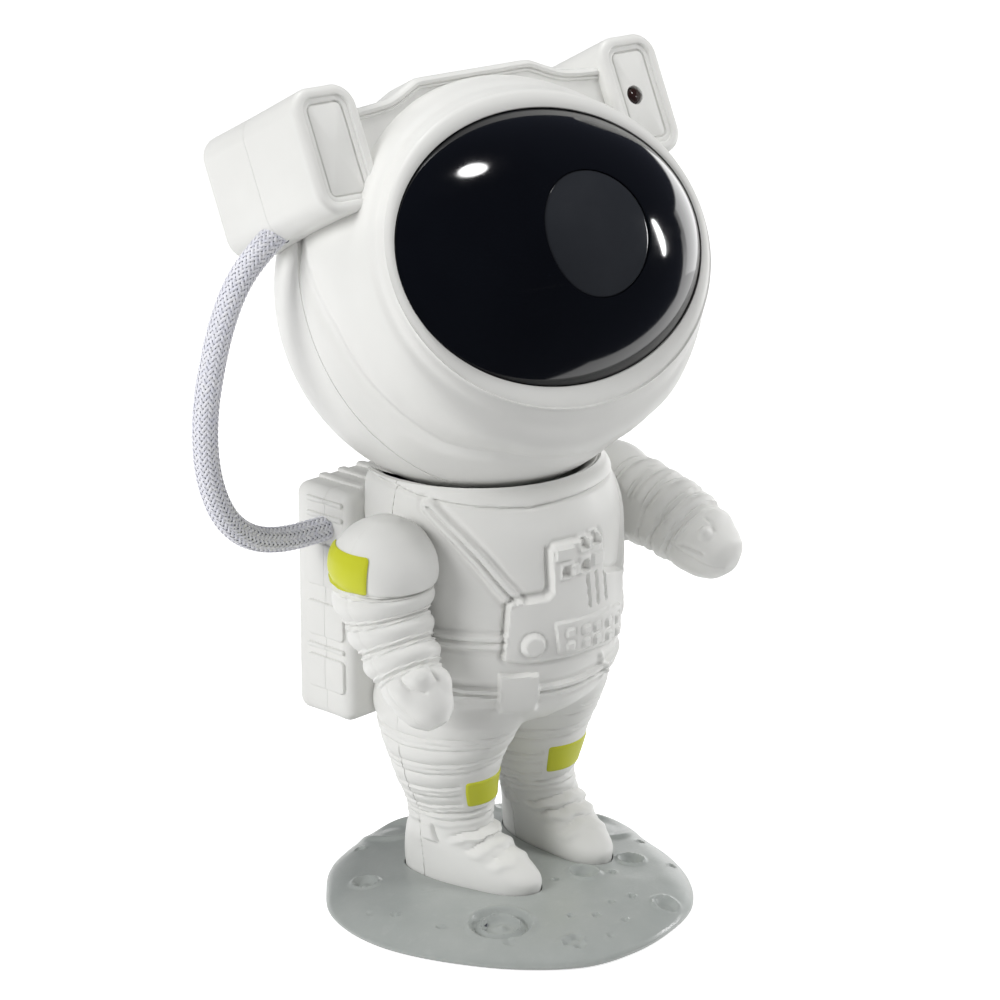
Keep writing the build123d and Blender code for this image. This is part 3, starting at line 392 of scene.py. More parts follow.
def piece(name, bm, body, material, nodes=(), place=None, sharp=SHARP):
    """Finished object from a mesh in millimetres, riding on a body unless that is None."""
    if place is not None:
        bmesh.ops.transform(bm, matrix=place, verts=bm.verts)
    bmesh.ops.scale(bm, vec=(MM, MM, MM), verts=bm.verts)
    obj = as_object(bm, name)
    finish_mesh(obj, material, sharp)
    if nodes:
        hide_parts(*nodes)
    if body:
        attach(obj, body)
    return obj


def halves(names, bm, seam_y, seam, body, material, nodes, place=None, sharp=SHARP):
    """Front and back shell of a closed mesh, which is used up."""
    for name, node, normal in zip(names, nodes, ((0, 1, 0), (0, -1, 0))):
        half = part_along(bm, seam_y, normal, seam)
        piece(name, half, body, material, [node], place, sharp)
    bm.free()


def finish_mesh(obj, material, sharp):
    """One material and smooth faces, with edges sharp above an angle in degrees."""
    obj.data.materials.clear()
    obj.data.materials.append(material)
    obj.data.polygons.foreach_set("use_smooth", [True] * len(obj.data.polygons))
    obj.data.set_sharp_from_angle(angle=math.radians(sharp))


def smooth_node(node, material):
    """Merged and smoothly shaded copy of a CAD node."""
    source = frame["nodes"][node]
    bm = bmesh.new()
    bm.from_mesh(source.data)
    bmesh.ops.remove_doubles(bm, verts=bm.verts, dist=NODE_MERGE)
    obj = as_object(bm, node + "_finished")
    finish_mesh(obj, material, SHARP_NODE)
    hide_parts(node)
    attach(obj, source["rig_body"])


def rounded_outline(half, corner, count):
    """Corner centres and directions round a rounded rectangle, anticlockwise from the right."""
    angle = np.linspace(0, 2 * math.pi, count + 1)
    quadrant = np.floor(angle / (math.pi / 2) + TINY) % 4
    cx = np.where((quadrant == 0) | (quadrant == 3), 1, -1) * (half[0] - corner)
    cz = np.where(quadrant < 2, 1, -1) * (half[1] - corner)
    return cx, cz, np.cos(angle), np.sin(angle)


def rounded_prism(centre, half, corner, steps, count=64, axis="Y"):
    """Closed rounded block: each step is (inset, position along the axis)."""
    cx, cz, dx, dz = rounded_outline(half, corner, count)
    least = 0.05
    table = np.array([(0.0, steps[0][1]), *steps, (0.0, steps[-1][1])])

    def place(column, row):
        column, row = column.astype(int), row.astype(int)
        inset, along = table[row].T
        radius = np.maximum(corner - inset, least)
        extra = np.maximum(inset - corner + least, 0)
        x = np.sign(cx[column]) * (np.abs(cx[column]) - extra) + dx[column] * radius
        z = np.sign(cz[column]) * (np.abs(cz[column]) - extra) + dz[column] * radius
        pole = (row == 0) | (row == len(steps) + 1)
        x, z = pick(pole, (0, 0), (x, z))
        a, b = centre[0] + x, centre[1] + z
        return np.stack({"X": (along, a, b), "Y": (a, along, b), "Z": (a, b, along)}[axis], 1)

    return wrapped(count, len(steps) + 1, place)


def rounded_edge(low, high, radius, turns=3):
    """Steps of a block along an axis with rounded ends."""
    angle = [math.pi / 2 * i / turns for i in range(turns + 1)]
    start = [(radius * (1 - math.sin(a)), low + radius * (1 - math.cos(a))) for a in angle]
    end = [(i, high + low - y) for i, y in reversed(start)]
    return start + end


# Materials ----------------

def linear(red, green, blue):
    """Screen colour, each part 0 to 255, as linear light with full opacity."""
    shares = [c / 255 for c in (red, green, blue)]
    return [c / 12.92 if c <= 0.04045 else ((c + 0.055) / 1.055) ** 2.4 for c in shares] + [1.0]


class Finish:
    """Material with helpers for its nodes."""

    def __init__(self, name):
        self.material = bpy.data.materials.new(name)
        self.material.use_nodes = True
        self.tree = self.material.node_tree
        self.shader = next(n for n in self.tree.nodes if n.type == "BSDF_PRINCIPLED")
        self.object = self.node("ShaderNodeTexCoord").outputs["Object"]

    def node(self, kind, **settings):
        """New node with its settings."""
        made = self.tree.nodes.new(kind)
        for key, value in settings.items():
            setattr(made, key, value)
        return made

    def link(self, out, into):
        self.tree.links.new(out, into)

    def noise(self, scale, detail=3.0, rough=0.55):
        """Noise fixed to the object."""
        made = self.node("ShaderNodeTexNoise")
        for key, number in (("Scale", scale), ("Detail", detail), ("Roughness", rough)):
            made.inputs[key].default_value = number
        self.link(self.object, made.inputs["Vector"])
        return made.outputs["Fac"]

    def ramp(self, value, low, high, to_low=0.0, to_high=1.0):
        """A range of values carried over to another and held at its ends."""
        made = self.node("ShaderNodeMapRange")
        for key, number in (("From Min", low), ("From Max", high), ("To Min", to_low), ("To Max", to_high)):
            made.inputs[key].default_value = number
        self.link(value, made.inputs["Value"])
        return made.outputs["Result"]

    def mix(self, share, first, second):
        """Mix of two colours, each a node's output or screen values."""
        made = self.node("ShaderNodeMix", data_type="RGBA")
        self.link(share, made.inputs["Factor"])
        for socket, value in ((made.inputs["A"], first), (made.inputs["B"], second)):
            if isinstance(value, tuple):
                socket.default_value = linear(*value)
            else:
                self.link(value, socket)
        return made.outputs["Result"]

    def bump(self, height, strength, distance, under=None):
        """Normal of a height, on top of another bump where one is given."""
        made = self.node("ShaderNodeBump")
        made.inputs["Strength"].default_value = strength
        made.inputs["Distance"].default_value = distance
        self.link(height, made.inputs["Height"])
        if under is not None:
            self.link(under, made.inputs["Normal"])
        return made.outputs["Normal"]

    def set(self, **values):
        """Set the surface's inputs, with _ for a space in a name, and return the material."""
        for key, value in values.items():
            socket = self.shader.inputs[key.replace("_", " ")]
            if isinstance(value, bpy.types.NodeSocket):
                self.link(value, socket)
            else:
                socket.default_value = value
        return self.material


# Depths of the surfaces' bumps, in metres
GRAIN_DEPTH = 0.00008
MOTTLE_DEPTH = 0.00012
DUST_DEPTH = 0.0003


def moulded(name, colour, shade, rough, grain, metal=0.0, specular=0.5):
    """Moulded plastic or metal: slight colour drift, fine grain and uneven gloss."""
    f = Finish(name)
    drift = f.noise(28.0, 4.0)
    fine = f.noise(2600.0, 2.0)
    soft = f.noise(260.0)
    colour_out = f.mix(f.ramp(drift, 0.35, 0.68), colour, shade)
    gloss = f.ramp(soft, 0.3, 0.7, *rough)
    normal = f.bump(fine, grain, GRAIN_DEPTH, f.bump(soft, grain * 0.6, MOTTLE_DEPTH))
    return f.set(
        Base_Color=colour_out, Roughness=gloss, Normal=normal, Metallic=metal, Specular_IOR_Level=specular
    )


# Colour, its shade, least and most roughness, grain
SUIT = moulded("suit_white", (231, 231, 228), (225, 225, 222), (0.40, 0.50), 0.09)
HELMET = moulded("helmet_white", (232, 232, 229), (227, 227, 224), (0.34, 0.44), 0.05)
PATCH = moulded("patch_green", (206, 209, 52), (190, 194, 38), (0.42, 0.55), 0.12)
VISOR = moulded("visor_black", (7, 9, 14), (4, 5, 9), (0.07, 0.10), 0.0)
WINDOW = moulded("window_smoke", (44, 46, 50), (38, 40, 44), (0.10, 0.14), 0.0, specular=0.4)


def moon_finish():
    """Grey moulded ground with dusty mottling and a fine stipple."""
    f = Finish("moon_grey")
    broad = f.noise(60.0, 5.0, 0.6)
    stipple = f.noise(1500.0, 3.0, 0.7)
    dust = f.noise(330.0, 4.0, 0.65)
    colour = f.mix(f.ramp(broad, 0.32, 0.7), (172, 176, 173), (163, 168, 165))
    colour = f.mix(f.ramp(dust, 0.55, 0.78, 0.0, 0.3), colour, (186, 189, 186))
    normal = f.bump(stipple, 0.22, MOTTLE_DEPTH, f.bump(dust, 0.16, DUST_DEPTH))
    gloss = f.ramp(stipple, 0.3, 0.7, 0.30, 0.46)
    return f.set(Base_Color=colour, Roughness=gloss, Normal=normal, Coat_Weight=0.25, Coat_Roughness=0.22)


MOON = moon_finish()


def braid_finish():
    """White braid yarn with a faint lavender cast and fibre lines."""
    f = Finish("braid_white")
    fibre = f.noise(5200.0, 3.0, 0.7)
    drift = f.noise(700.0, 3.0)
    colour = f.mix(f.ramp(drift, 0.35, 0.65), (240, 240, 245), (228, 229, 240))
    gloss, normal = f.ramp(fibre, 0.3, 0.7, 0.4, 0.62), f.bump(fibre, 0.3, GRAIN_DEPTH)
    return f.set(Base_Color=colour, Roughness=gloss, Normal=normal, Sheen_Weight=0.15)


BRAID = braid_finish()
HOSE_CORE = moulded("hose_core", (112, 114, 132), (90, 92, 112), (0.5, 0.65), 0.1)


# Suit: torso, legs and boots ----------------
TORSO_GIRTH = 33.5


def round_torso(degrees):
    """Millimetres round the torso from its front."""
    return math.radians(degrees) * TORSO_GIRTH


def girth(points):
    """Points given by their angle and height, as millimetres round and up the torso."""
    return [(round_torso(a), z) for a, z in points]


STRAP = girth([(-71.5, 117.3), (-58.7, 109.9), (-50.5, 104.4), (-42.8, 98.2), (-35.5, 92.7)])
STRAP_LEFT = [(-u, z) for u, z in STRAP]
BELT = girth([(-178.0, 82.6), (-75.0, 82.4), (-39.0, 81.6)])
BELT_LEFT = girth([(34.0, 81.0), (75.0, 82.0), (178.0, 82.6)])
HIP_BELT = girth([(-178.0, 67.6), (-69.0, 67.2), (-44.0, 66.5)])
HIP_BELT_RIGHT = girth([(-24.0, 66.4), (-5.0, 65.9), (15.0, 66.8), (60.0, 67.0), (178.0, 67.6)])
PLATE = girth([
    (-42.0, 77.9), (-40.9, 81.0), (-39.0, 91.2), (-37.0, 92.6), (-21.2, 92.9), (-18.4, 94.4), (-19.2, 105.6),
    (-18.0, 107.2), (8.5, 107.4), (10.7, 105.4), (11.4, 96.6), (13.0, 95.6), (34.7, 92.6), (35.6, 84.0),
    (27.0, 74.0), (1.3, 75.4), (-13.8, 75.6), (-33.9, 76.0), (-40.8, 76.8),
])
PLATE_CHANNEL = girth([(-42.3, 77.5), (-40.2, 91.8), (-37.4, 94.0), (-22.0, 94.4), (-20.4, 96.0), (-21.0, 106.6)])
KEYPAD = girth([(-18.2, 86.0), (11.4, 85.4), (26.0, 84.4), (28.6, 75.7), (-16.4, 77.2)])
POUCH = girth([(-43.9, 72.9), (-25.6, 72.2), (-23.4, 59.6), (-43.3, 60.8)])
HIP_FIN = girth([(12.8, 71.9), (24.6, 63.2)])
# Lower edge of the collar: angle, height
COLLAR_LINE = np.array([
    (-180.0, 121.5), (-120.0, 121.2), (-89.6, 120.7), (-76.2, 119.3), (-61.6, 118.6), (-48.3, 118.0), (-26.0, 117.3),
    (-10.6, 117.8), (9.2, 118.1), (48.0, 118.0), (76.0, 119.3), (90.0, 120.7), (120.0, 121.2), (180.0, 121.5),
])
KEYS = [(-11.0, 82.6), (-2.4, 82.3), (4.6, 82.1), (13.3, 81.6), (21.8, 81.0),
        (-10.8, 78.9), (-2.0, 78.5), (5.1, 78.2), (13.9, 77.7), (22.6, 77.1)]
ARCHES = [(-2.5, 106.2), (4.4, 106.4), (-11.9, 99.9), (-2.3, 100.2)]
SLOTS = [((-0.6, 96.9), (1.4, 88.2)), ((5.0, 97.0), (6.7, 88.2)), ((10.8, 96.8), (12.8, 88.2))]
# Blocks on the plate: angle, height, half-width, half-height
BLOCKS = [(-13.0, 104.6, 2.6, 1.7), (-8.2, 99.7, 1.4, 1.5), (6.0, 100.7, 2.2, 1.7)]
KNOB = (-28.3, 80.6)
KNOB_R = 2.8
ARCH_R = 1.25


def plate_relief(u, z, height):
    """Chest plate with its keys, knob, arches, blocks and slots, laid over the suit's relief."""
    plate = area_distance(u, z, PLATE)
    height = height * (1 - raised(plate + 0.2, 1.0)) + 1.35 * raised(plate, 1.1) - 0.45 * swell(plate - 0.7, 0.6)
    height -= raised(line_distance(u, z, PLATE_CHANNEL) - 0.5, 1.1)
    height += 0.8 * raised(area_distance(u, z, KEYPAD), 0.6)
    for key_a, key_z in KEYS:
        key = box_distance(u, z, (round_torso(key_a), key_z), (1.15, 1.05), 0.4)
        height += 0.6 * raised(key, 0.4) - 0.35 * raised(np.abs(key - 0.55) - 0.1, 0.4)
    knob = np.hypot(u - round_torso(KNOB[0]), z - KNOB[1]) - KNOB_R
    height += 1.5 * raised(knob, 1.0) - 0.5 * raised(np.abs(knob - 0.8) - 0.15, 0.7)
    for hole_a, hole_z in ARCHES:
        hole_u = round_torso(hole_a)
        arch = np.maximum(np.hypot(u - hole_u, np.maximum(z - hole_z, 0)) - ARCH_R, hole_z - 1.5 - z)
        height -= 1.7 * raised(arch, 0.45)
        height += 0.5 * raised(box_distance(u, z, (hole_u, hole_z - 0.1), (2.0, 2.4), 0.8), 0.5)
    for block_a, block_z, half_w, half_h in BLOCKS:
        block = box_distance(u, z, (round_torso(block_a), block_z), (half_w, half_h), 0.5)
        height += 0.7 * raised(block, 0.4)
    for ends in SLOTS:
        height -= 0.9 * raised(line_distance(u, z, girth(ends)) - 0.35, 0.5)
    return height


def torso_relief(angle, z):
    """Height of the moulded detail over the plain torso."""
    a = signed_degrees(angle)
    u = np.radians(a) * TORSO_GIRTH
    height = np.zeros(np.shape(u))
    for line in (STRAP, STRAP_LEFT):
        height += twin_ridge(u, z, line, 2.0, 1.25)
    for line in (BELT, BELT_LEFT, HIP_BELT, HIP_BELT_RIGHT):
        height += twin_ridge(u, z, line, 1.9, 1.2)
    # cloth swelling between the straps and over the hips
    height += 0.45 * swell(z - 73.0, 5.5) - 0.35 * swell(z - 87.5, 3.2)
    height += 0.35 * wave(u + 1.3 * z, 1.0, 7.5) * swell(z - 59.5, 5.0)
    height = plate_relief(u, z, height)
    pouch = area_distance(u, z, POUCH)
    height = height * (1 - raised(pouch + 0.2, 0.8)) + 2.3 * raised(pouch, 0.9)
    height += 0.9 * raised(line_distance(u, z, HIP_FIN) - 0.8, 1.0)
    # collar roll over a groove
    above = z - np.interp(a, COLLAR_LINE[:, 0], COLLAR_LINE[:, 1])
    height -= 0.8 * raised(np.abs(above) - 0.3, 0.9)
    height += 0.7 * np.sqrt(np.clip(1 - ((above - 1.9) / 1.7) ** 2, 0, 1))
    return height


def torso_at(angle, z, lift=0.0, detail=True):
    """Point of the torso at an angle from the front and a height."""
    cy, a, b = section(TORSO, z)
    if detail:
        lift = lift + torso_relief(angle, z)
    x, y = oval(angle, a, b, lift)
    return np.clip(x, -SIDE_LIMIT, SIDE_LIMIT), np.minimum(cy + y, PACK_FRONT_Y)


def dish_height(x, y):
    """Height of the dish under the head."""
    flat = (x - HEAD_CENTRE.x) ** 2 + (y - HEAD_CENTRE.y) ** 2
    return HEAD_CENTRE.z - np.sqrt(np.maximum(COLLAR_R**2 - flat, 1.0))


TORSO_FRONT_HALF = math.radians(97.0)
TORSO_RIM_Z = (108.0, 124.0)
TORSO_MIDDLE_Y = 7.6
UNDERSIDE_DROP = 1.6
RIM_ROUND = 0.7
# Lip of the collar and the floor under the neck seat: inset and drop at each step
LIP_INSET = np.array([0.0, 0.35, 1.0, 3.6, 4.6, 8.0, 60.0])
LIP_DROP = np.array([0.45, 0.1, 0.0, 0.0, 1.2, 8.0, 14.0])
NECK_FLOOR = (0.0, 10.0, 98.0)


def rim_height(angle):
    """Height at which the plain torso meets the dish."""
    low, high = (np.full(angle.shape, z) for z in TORSO_RIM_Z)
    for _ in range(26):
        middle = (low + high) / 2
        over = middle > dish_height(*torso_at(angle, middle, 0.0, False))
        low, high = pick(over, (low, middle), (middle, high))
    return low


def torso_mesh():
    """Torso skin from its rounded underside to the collar's lip and the floor under the neck seat."""
    front, back, rise = 262, 84, 168
    foot, lip = 5, len(LIP_INSET) - 1
    foot_z = TORSO[0, 0]

    def place(column, row):
        half = TORSO_FRONT_HALF
        angle = np.where(
            column <= front,
            -half + 2 * half * column / front,
            half + (2 * math.pi - 2 * half) * (column - front) / back,
        )
        rim = rim_height(angle)
        share = np.clip((row - foot) / rise, 0, 1)
        z = foot_z + (rim - foot_z) * share
        x, y = torso_at(angle, z, -RIM_ROUND * ease((share - 0.993) / 0.007))
        # rounded underside
        under = row < foot
        close = np.clip(row / foot, 0, 1)
        scale = np.where(under, np.sin(close * math.pi / 2), 1.0)
        x, y = x * scale, TORSO_MIDDLE_Y + (y - TORSO_MIDDLE_Y) * scale
        z = np.where(under, foot_z - UNDERSIDE_DROP * np.cos(close * math.pi / 2), z)
        step = np.clip(row - foot - rise, 0, lip).astype(int)
        # lip, and the floor under the neck seat at its last step
        lx, ly = torso_at(angle, rim, -RIM_ROUND - LIP_INSET[step])
        top = pick(step == lip, NECK_FLOOR, (lx, ly, dish_height(lx, ly) - LIP_DROP[step]))
        return np.stack(pick(row > foot + rise - 0.5, top, (x, y, z)), 1)

    return wrapped(front + back, foot + rise + lip, place)


LEG_GIRTH = 13.5
# Stitched bands: height, half-width, swelling of the cloth above
LEG_BANDS = ((51.2, 1.25, 0.9), (43.4, 1.15, 0.95), (35.6, 1.1, 0.75), (29.6, 1.0, 0.6))
LOOSE_FOLDS = (26.9, 24.9)
# Creases from the groin: start and end as angle and height, size
THIGH_CREASES = (
    ((28, 63.5), (96, 50.5), 0.9), ((10, 61.0), (62, 52.0), 0.8), ((-30, 60.0), (30, 55.5), 0.45),
    ((100, 60), (175, 54), 0.6),
)
# Folds over the boot: height, reach in degrees, size
INSTEP_FOLDS = ((23.0, 66.0, 0.9), (20.4, 56.0, 1.0), (17.6, 44.0, 0.8))
ANKLE_TAB = (94.0, 21.9)
PATCH_SEAT = 0.75


def round_leg(degrees):
    """Millimetres round a leg from its front."""
    return math.radians(degrees) * LEG_GIRTH


# Knee patches by side: centre, half-sizes
KNEE = {-1: ((round_leg(8.0), 34.2), (11.6, 5.2)), 1: ((round_leg(17.0), 35.0), (10.8, 5.2))}


def leg_folds(side, angle, z):
    """Puffed cloth between stitched bands, and the creases of a boot."""
    a = signed_degrees(angle)
    u = np.radians(a) * LEG_GIRTH
    seed = 0.7 if side < 0 else 2.9
    height = np.zeros(np.shape(u))
    slope = 1.2 * np.sin(angle + 0.5)
    last = 62.0
    for index, (level, half, puff) in enumerate(LEG_BANDS):
        drift = slope + 0.3 * wave(u, seed + index, 6.0)
        d = np.abs(z - level - drift)
        height += 0.45 * raised(d - half, 0.6) - 0.5 * raised(np.abs(d - half - 0.55) - 0.1, 0.9)
        height -= 0.35 * raised(d - 0.12, 0.5)
        height += puff * swell(z - (level + last) / 2 - drift, (last - level) / 2.6)
        last = level
    for level in LOOSE_FOLDS:
        d = z - level - slope * 0.5 - 0.4 * wave(u, seed + level, 5.0)
        height += 0.45 * swell(d, 0.75) - 0.35 * swell(d - 1.1, 0.35)
    for start, end, size in THIGH_CREASES:
        d = line_distance(u, z, [(round_leg(-side * turn), level) for turn, level in (start, end)])
        height += size * (0.75 * swell(d - 1.5, 1.0) - 0.9 * swell(d, 0.55))
    for level, reach, size in INSTEP_FOLDS:
        bow = level - 2.2 * (np.abs(a) / reach) ** 1.5 + 0.5 * wave(u, seed + level, 4.0)
        fade = raised(np.abs(a) - reach, 26.0)
        d = z - bow
        height += fade * size * (swell(d + 1.1, 0.8) - 0.9 * swell(d - 0.2, 0.4))
    for turn in (-ANKLE_TAB[0], ANKLE_TAB[0]):
        tab = box_distance(u, z, (round_leg(turn), ANKLE_TAB[1]), (1.9, 2.5), 0.4)
        height = height * (1 - raised(tab - 0.3, 0.6)) + 1.3 * raised(tab, 0.6)
    return height * ease((z - 9.0) / 5.0)


def leg_centre(side, z):
    """Middle of a leg at a height."""
    middle, spread, cy, _, _ = section(LEG, z)
    return middle + side * spread, cy


def leg_at(side, angle, z, lift=0.0, detail=True):
    """Point of a leg or boot at an angle from its front and a height."""
    _, _, _, a, b = section(LEG, z)
    if detail:
        border = raised(box_distance(np.radians(signed_degrees(angle)) * LEG_GIRTH, z, *KNEE[side], 1.0), 0.9)
        lift = lift + leg_folds(side, angle, z) * (1 - border) + PATCH_SEAT * border
    # the toe is blunter than an ellipse
    toe = ease((20.0 - z) / 8.0) * ease((np.cos(angle) - 0.2) / 0.8)
    x, y = oval(angle, a, b, lift, 1 + 0.16 * toe * np.abs(np.sin(2 * angle)))
    cos, sin = math.cos(-side * TOE_IN), math.sin(-side * TOE_IN)
    mx, my = leg_centre(side, z)
    return mx + cos * x - sin * y, my + sin * x + cos * y


def leg_mesh(side, grow=0.0, top=66.0, low=6.8, columns=150, rise=124):
    """Leg and boot, or their plain shape grown by some clearance."""
    def place(column, row):
        z = low + (top - low) * np.clip((row - 2) / (rise - 3), 0, 1)
        x, y = leg_at(side, 2 * math.pi * column / columns, z, grow, grow == 0)
        mx, my = leg_centre(side, z)
        scale = np.where((row == 0) | (row == rise), 0.0, np.where(row == 1, 0.95, 1.0))
        return np.stack([mx + (x - mx) * scale, my + (y - my) * scale, z], 1)

    return wrapped(columns, rise, place)


def patch_mesh(surface, centre, half, corner, lift):
    """Thin rounded patch that lies on a surface and is closed behind."""
    columns, rows = 56, 30

    def place(column, row):
        x, y = (column / columns * 2 - 1) * half[0], (row / rows * 2 - 1) * half[1]
        # square cells drawn in at the corners
        ox, oy = np.abs(x) - (half[0] - corner), np.abs(y) - (half[1] - corner)
        limit = np.maximum(np.maximum(ox, oy), 1e-6)
        shrink = limit / np.maximum(np.hypot(ox, oy), 1e-6)
        drawn = np.sign(x) * (half[0] - corner + ox * shrink), np.sign(y) * (half[1] - corner + oy * shrink)
        x, y = pick((ox > 0) & (oy > 0), drawn, (x, y))
        edge = -box_distance(x, y, (0, 0), half, corner)
        height = lift * (1 - (1 - np.clip(edge / 0.7, 0, 1)) ** 2)
        return surface(centre[0] + x, centre[1] + y, height)

    bm = wrapped(columns, rows, place)
    bmesh.ops.solidify(bm, geom=bm.faces[:], thickness=0.9)
    bmesh.ops.recalc_face_normals(bm, faces=bm.faces)
    return bm


def knee_patch(side):
    """Patch over a shin, just proud of its stitched border."""
    centre, half = KNEE[side]

    def surface(u, z, height):
        x, y = leg_at(side, u / LEG_GIRTH, z, PATCH_SEAT + height, False)
        return np.stack([x, y, z], 1)

    return patch_mesh(surface, centre, (half[0] - 1.3, half[1] - 1.2), 0.8, 0.35)


# Softening of the groin: height below which, passes
SOFTENED = ((63.6, 5), (62.2, 8), (60.8, 14))
SOFTENED_FROM = 51.0
SOFTENED_REACH = 5.0
# Rough radii that turn a share of an ellipse into millimetres
THIGH_R = 12
HIP_R = 26


def body_mesh():
    """Torso and legs as one skin, softened where the thighs meet the hips."""
    bm = combined(torso_mesh(), [leg_mesh(-1), leg_mesh(1)], "UNION")
    bmesh.ops.dissolve_degenerate(bm, edges=bm.edges, dist=MERGE)
    for top, passes in SOFTENED:
        near = [v for v in bm.verts if SOFTENED_FROM < v.co.z < top and groin_distance(v.co) < SOFTENED_REACH]
        for _ in range(passes):
            bmesh.ops.smooth_vert(bm, verts=near, factor=0.6, use_axis_x=True, use_axis_y=True, use_axis_z=True)
    return bm


def groin_distance(co):
    """How far a point of the hips is from the line where thigh and torso skins cross."""
    gaps = []
    for side in (-1, 1):
        middle, spread, cy, a, b = section(LEG, np.array([co.z]))[:, 0]
        dx, dy = co.x - middle - side * spread, co.y - cy
        gaps.append(abs(math.hypot(dx / a, dy / b) - 1) * THIGH_R)
    cy, a, b = section(TORSO, np.array([max(co.z, TORSO[0, 0])]))[:, 0]
    torso = abs(math.hypot(co.x / a, (co.y - cy) / b) - 1) * HIP_R
    return max(min(gaps), torso)


BODY_NODES = ["body_front_shell", "body_back_shell"]
halves(["suit_front", "suit_back"], body_mesh(), PARTING_Y, SUIT_SEAM, "torso", SUIT, BODY_NODES)
for side, name in ((-1, "right"), (1, "left")):
    piece(f"knee_patch_{name}", knee_patch(side), "torso", PATCH)


# Arms ----------------

def arm_line(name):
    """Centre line of an arm built on the right, with its arc length and radius."""
    listed = ARMS[name]
    centres = np.stack([-(SHOULDER[0] + listed[:, 0]), SHOULDER[1] - listed[:, 1], SHOULDER[2] - listed[:, 2]], 1)
    steps = np.linalg.norm(np.diff(centres, axis=0), axis=1)
    return np.concatenate([[0], np.cumsum(steps)]), centres, listed[:, 3]


SLEEVE_R = 8.0
ARM_PATCH_R = 12.5
# Stitched bands by their place along the arm
BANDS = {"right": (18.4, 27.2, 34.8, 42.4), "left": (19.4, 26.0, 31.4, 36.6, 42.0)}
# Mitten details: along the arm, angle in degrees, half-lengths along and around, height
LUMPS = {
    "right": [(46.4, 60.0, 3.4, 3.6, 2.2), (49.0, 116.0, 3.6, 3.8, 1.0), (47.5, 5.0, 4.0, 4.2, 0.8)],
    "left": [(49.4, 131.0, 1.7, 1.8, 2.3), (47.0, 66.0, 3.4, 4.6, 0.6), (47.4, 100.0, 3.4, 3.4, 0.7)],
}
FURROWS = {
    "right": [((44.6, 30.0), (47.8, 36.0), (50.4, 58.0)), ((45.6, 86.0), (48.6, 90.0))],
    "left": [((45.6, 176.0), (46.9, 169.0), (52.0, 162.0)), ((46.2, 112.0), (48.6, 110.0), (50.6, 116.0))],
}


def sleeve_relief(name, angle, s):
    """Puffed sleeve with stitched bands, and the mitten's thumb and furrows."""
    height = np.zeros(np.shape(s))
    tilt = 1.1 * np.sin(angle - 0.5)
    last = 3.0
    for index, band in enumerate(BANDS[name]):
        d = np.abs(s - band - tilt - 0.25 * np.sin(2 * angle + index))
        height += 0.85 * raised(np.abs(d - 0.8) - 0.3, 0.7)
        height -= 1.05 * swell(d, 1.9)
        middle = (band + last) / 2
        height += 0.95 * swell(s - middle - tilt, max((band - last) / 2.6, 1.0))
        last = band
    for at, turn, half_s, half_u, size in LUMPS[name]:
        du = (np.degrees(angle) - turn + 180) % 360 - 180
        away = np.hypot((s - at) / half_s, np.radians(du) * SLEEVE_R / half_u)
        height += size * ease(1.25 - away)
    for line in FURROWS[name]:
        d = line_distance(s, angle * SLEEVE_R, [(at, math.radians(turn) * SLEEVE_R) for at, turn in line])
        height -= 0.9 * raised(d - 0.2, 1.3)
    return height


def arm_at(name, angle, s, lift=0.0, detail=True):
    """Point of an arm built on the right: angle 0 is outward and a quarter turn is to the front."""
    length, centres, radii = arm_line(name)
    centre = through(length, centres, s)
    radius = through(length, radii, s)
    step = 0.4
    along = through(length, centres, np.minimum(s + step, length[-1]))
    along -= through(length, centres, np.maximum(s - step, 0.0))
    along /= np.linalg.norm(along, axis=1)[:, None]
    out = np.tile((-1.0, 0.0, 0.0), (len(s), 1))
    front = np.cross(out, along)
    front /= np.linalg.norm(front, axis=1)[:, None]
    if detail:
        lift = lift + sleeve_relief(name, angle, s)
    reach = radius + lift
    point = centre + out * (np.cos(angle) * reach)[:, None] + front * (np.sin(angle) * reach)[:, None]
    point[:, 0] = np.minimum(point[:, 0], -ARM_INNER_X)
    return point


def arm_half(name, front):
    """Front or back moulding of an arm, closed along its parting."""
    length, centres, _ = arm_line(name)
    # columns round the outside and across the flat inner side
    arc, chord, rows = 84, 4, 118
    start = 0.0 if front else math.pi

    def place(column, row):
        angle = start + np.clip(column / arc, 0, 1) * math.pi
        s = length[-1] * np.clip((row - 1) / (rows - 2), 0, 1)
        edge = np.minimum(column, arc - column)
        groove = np.where(edge <= 0, -SLEEVE_SEAM, np.where(edge == 1, -0.03, 0.0))
        point = arm_at(name, angle, s, groove)
        first, final = (arm_at(name, np.full(len(s), start + turn), s, -SLEEVE_SEAM) for turn in (0, math.pi))
        back = np.clip((column - arc) / chord, 0, 1)[:, None]
        point = np.where((column > arc)[:, None], final + (first - final) * back, point)
        pole = (row == 0) | (row == rows)
        middle = through(length, centres, s)
        middle[:, 0] = np.minimum(middle[:, 0], -ARM_INNER_X)
        return np.where(pole[:, None], middle, point)

    return wrapped(arc + chord, rows, place)


def arm_pieces(name):
    """Both mouldings of an arm; the left one is mirrored."""
    mirror = Matrix.Scale(-1, 4, (1, 0, 0)) if name == "left" else None
    for front in (True, False):
        side = "front" if front else "back"
        bm = arm_half(name, front)
        if mirror:
            bmesh.ops.transform(bm, matrix=mirror, verts=bm.verts)
            bmesh.ops.recalc_face_normals(bm, faces=bm.faces)
        piece(f"{name}_sleeve_{side}", bm, f"{name}_arm", SUIT, [f"{name}_arm_{side}"])


for name in ("right", "left"):
    arm_pieces(name)


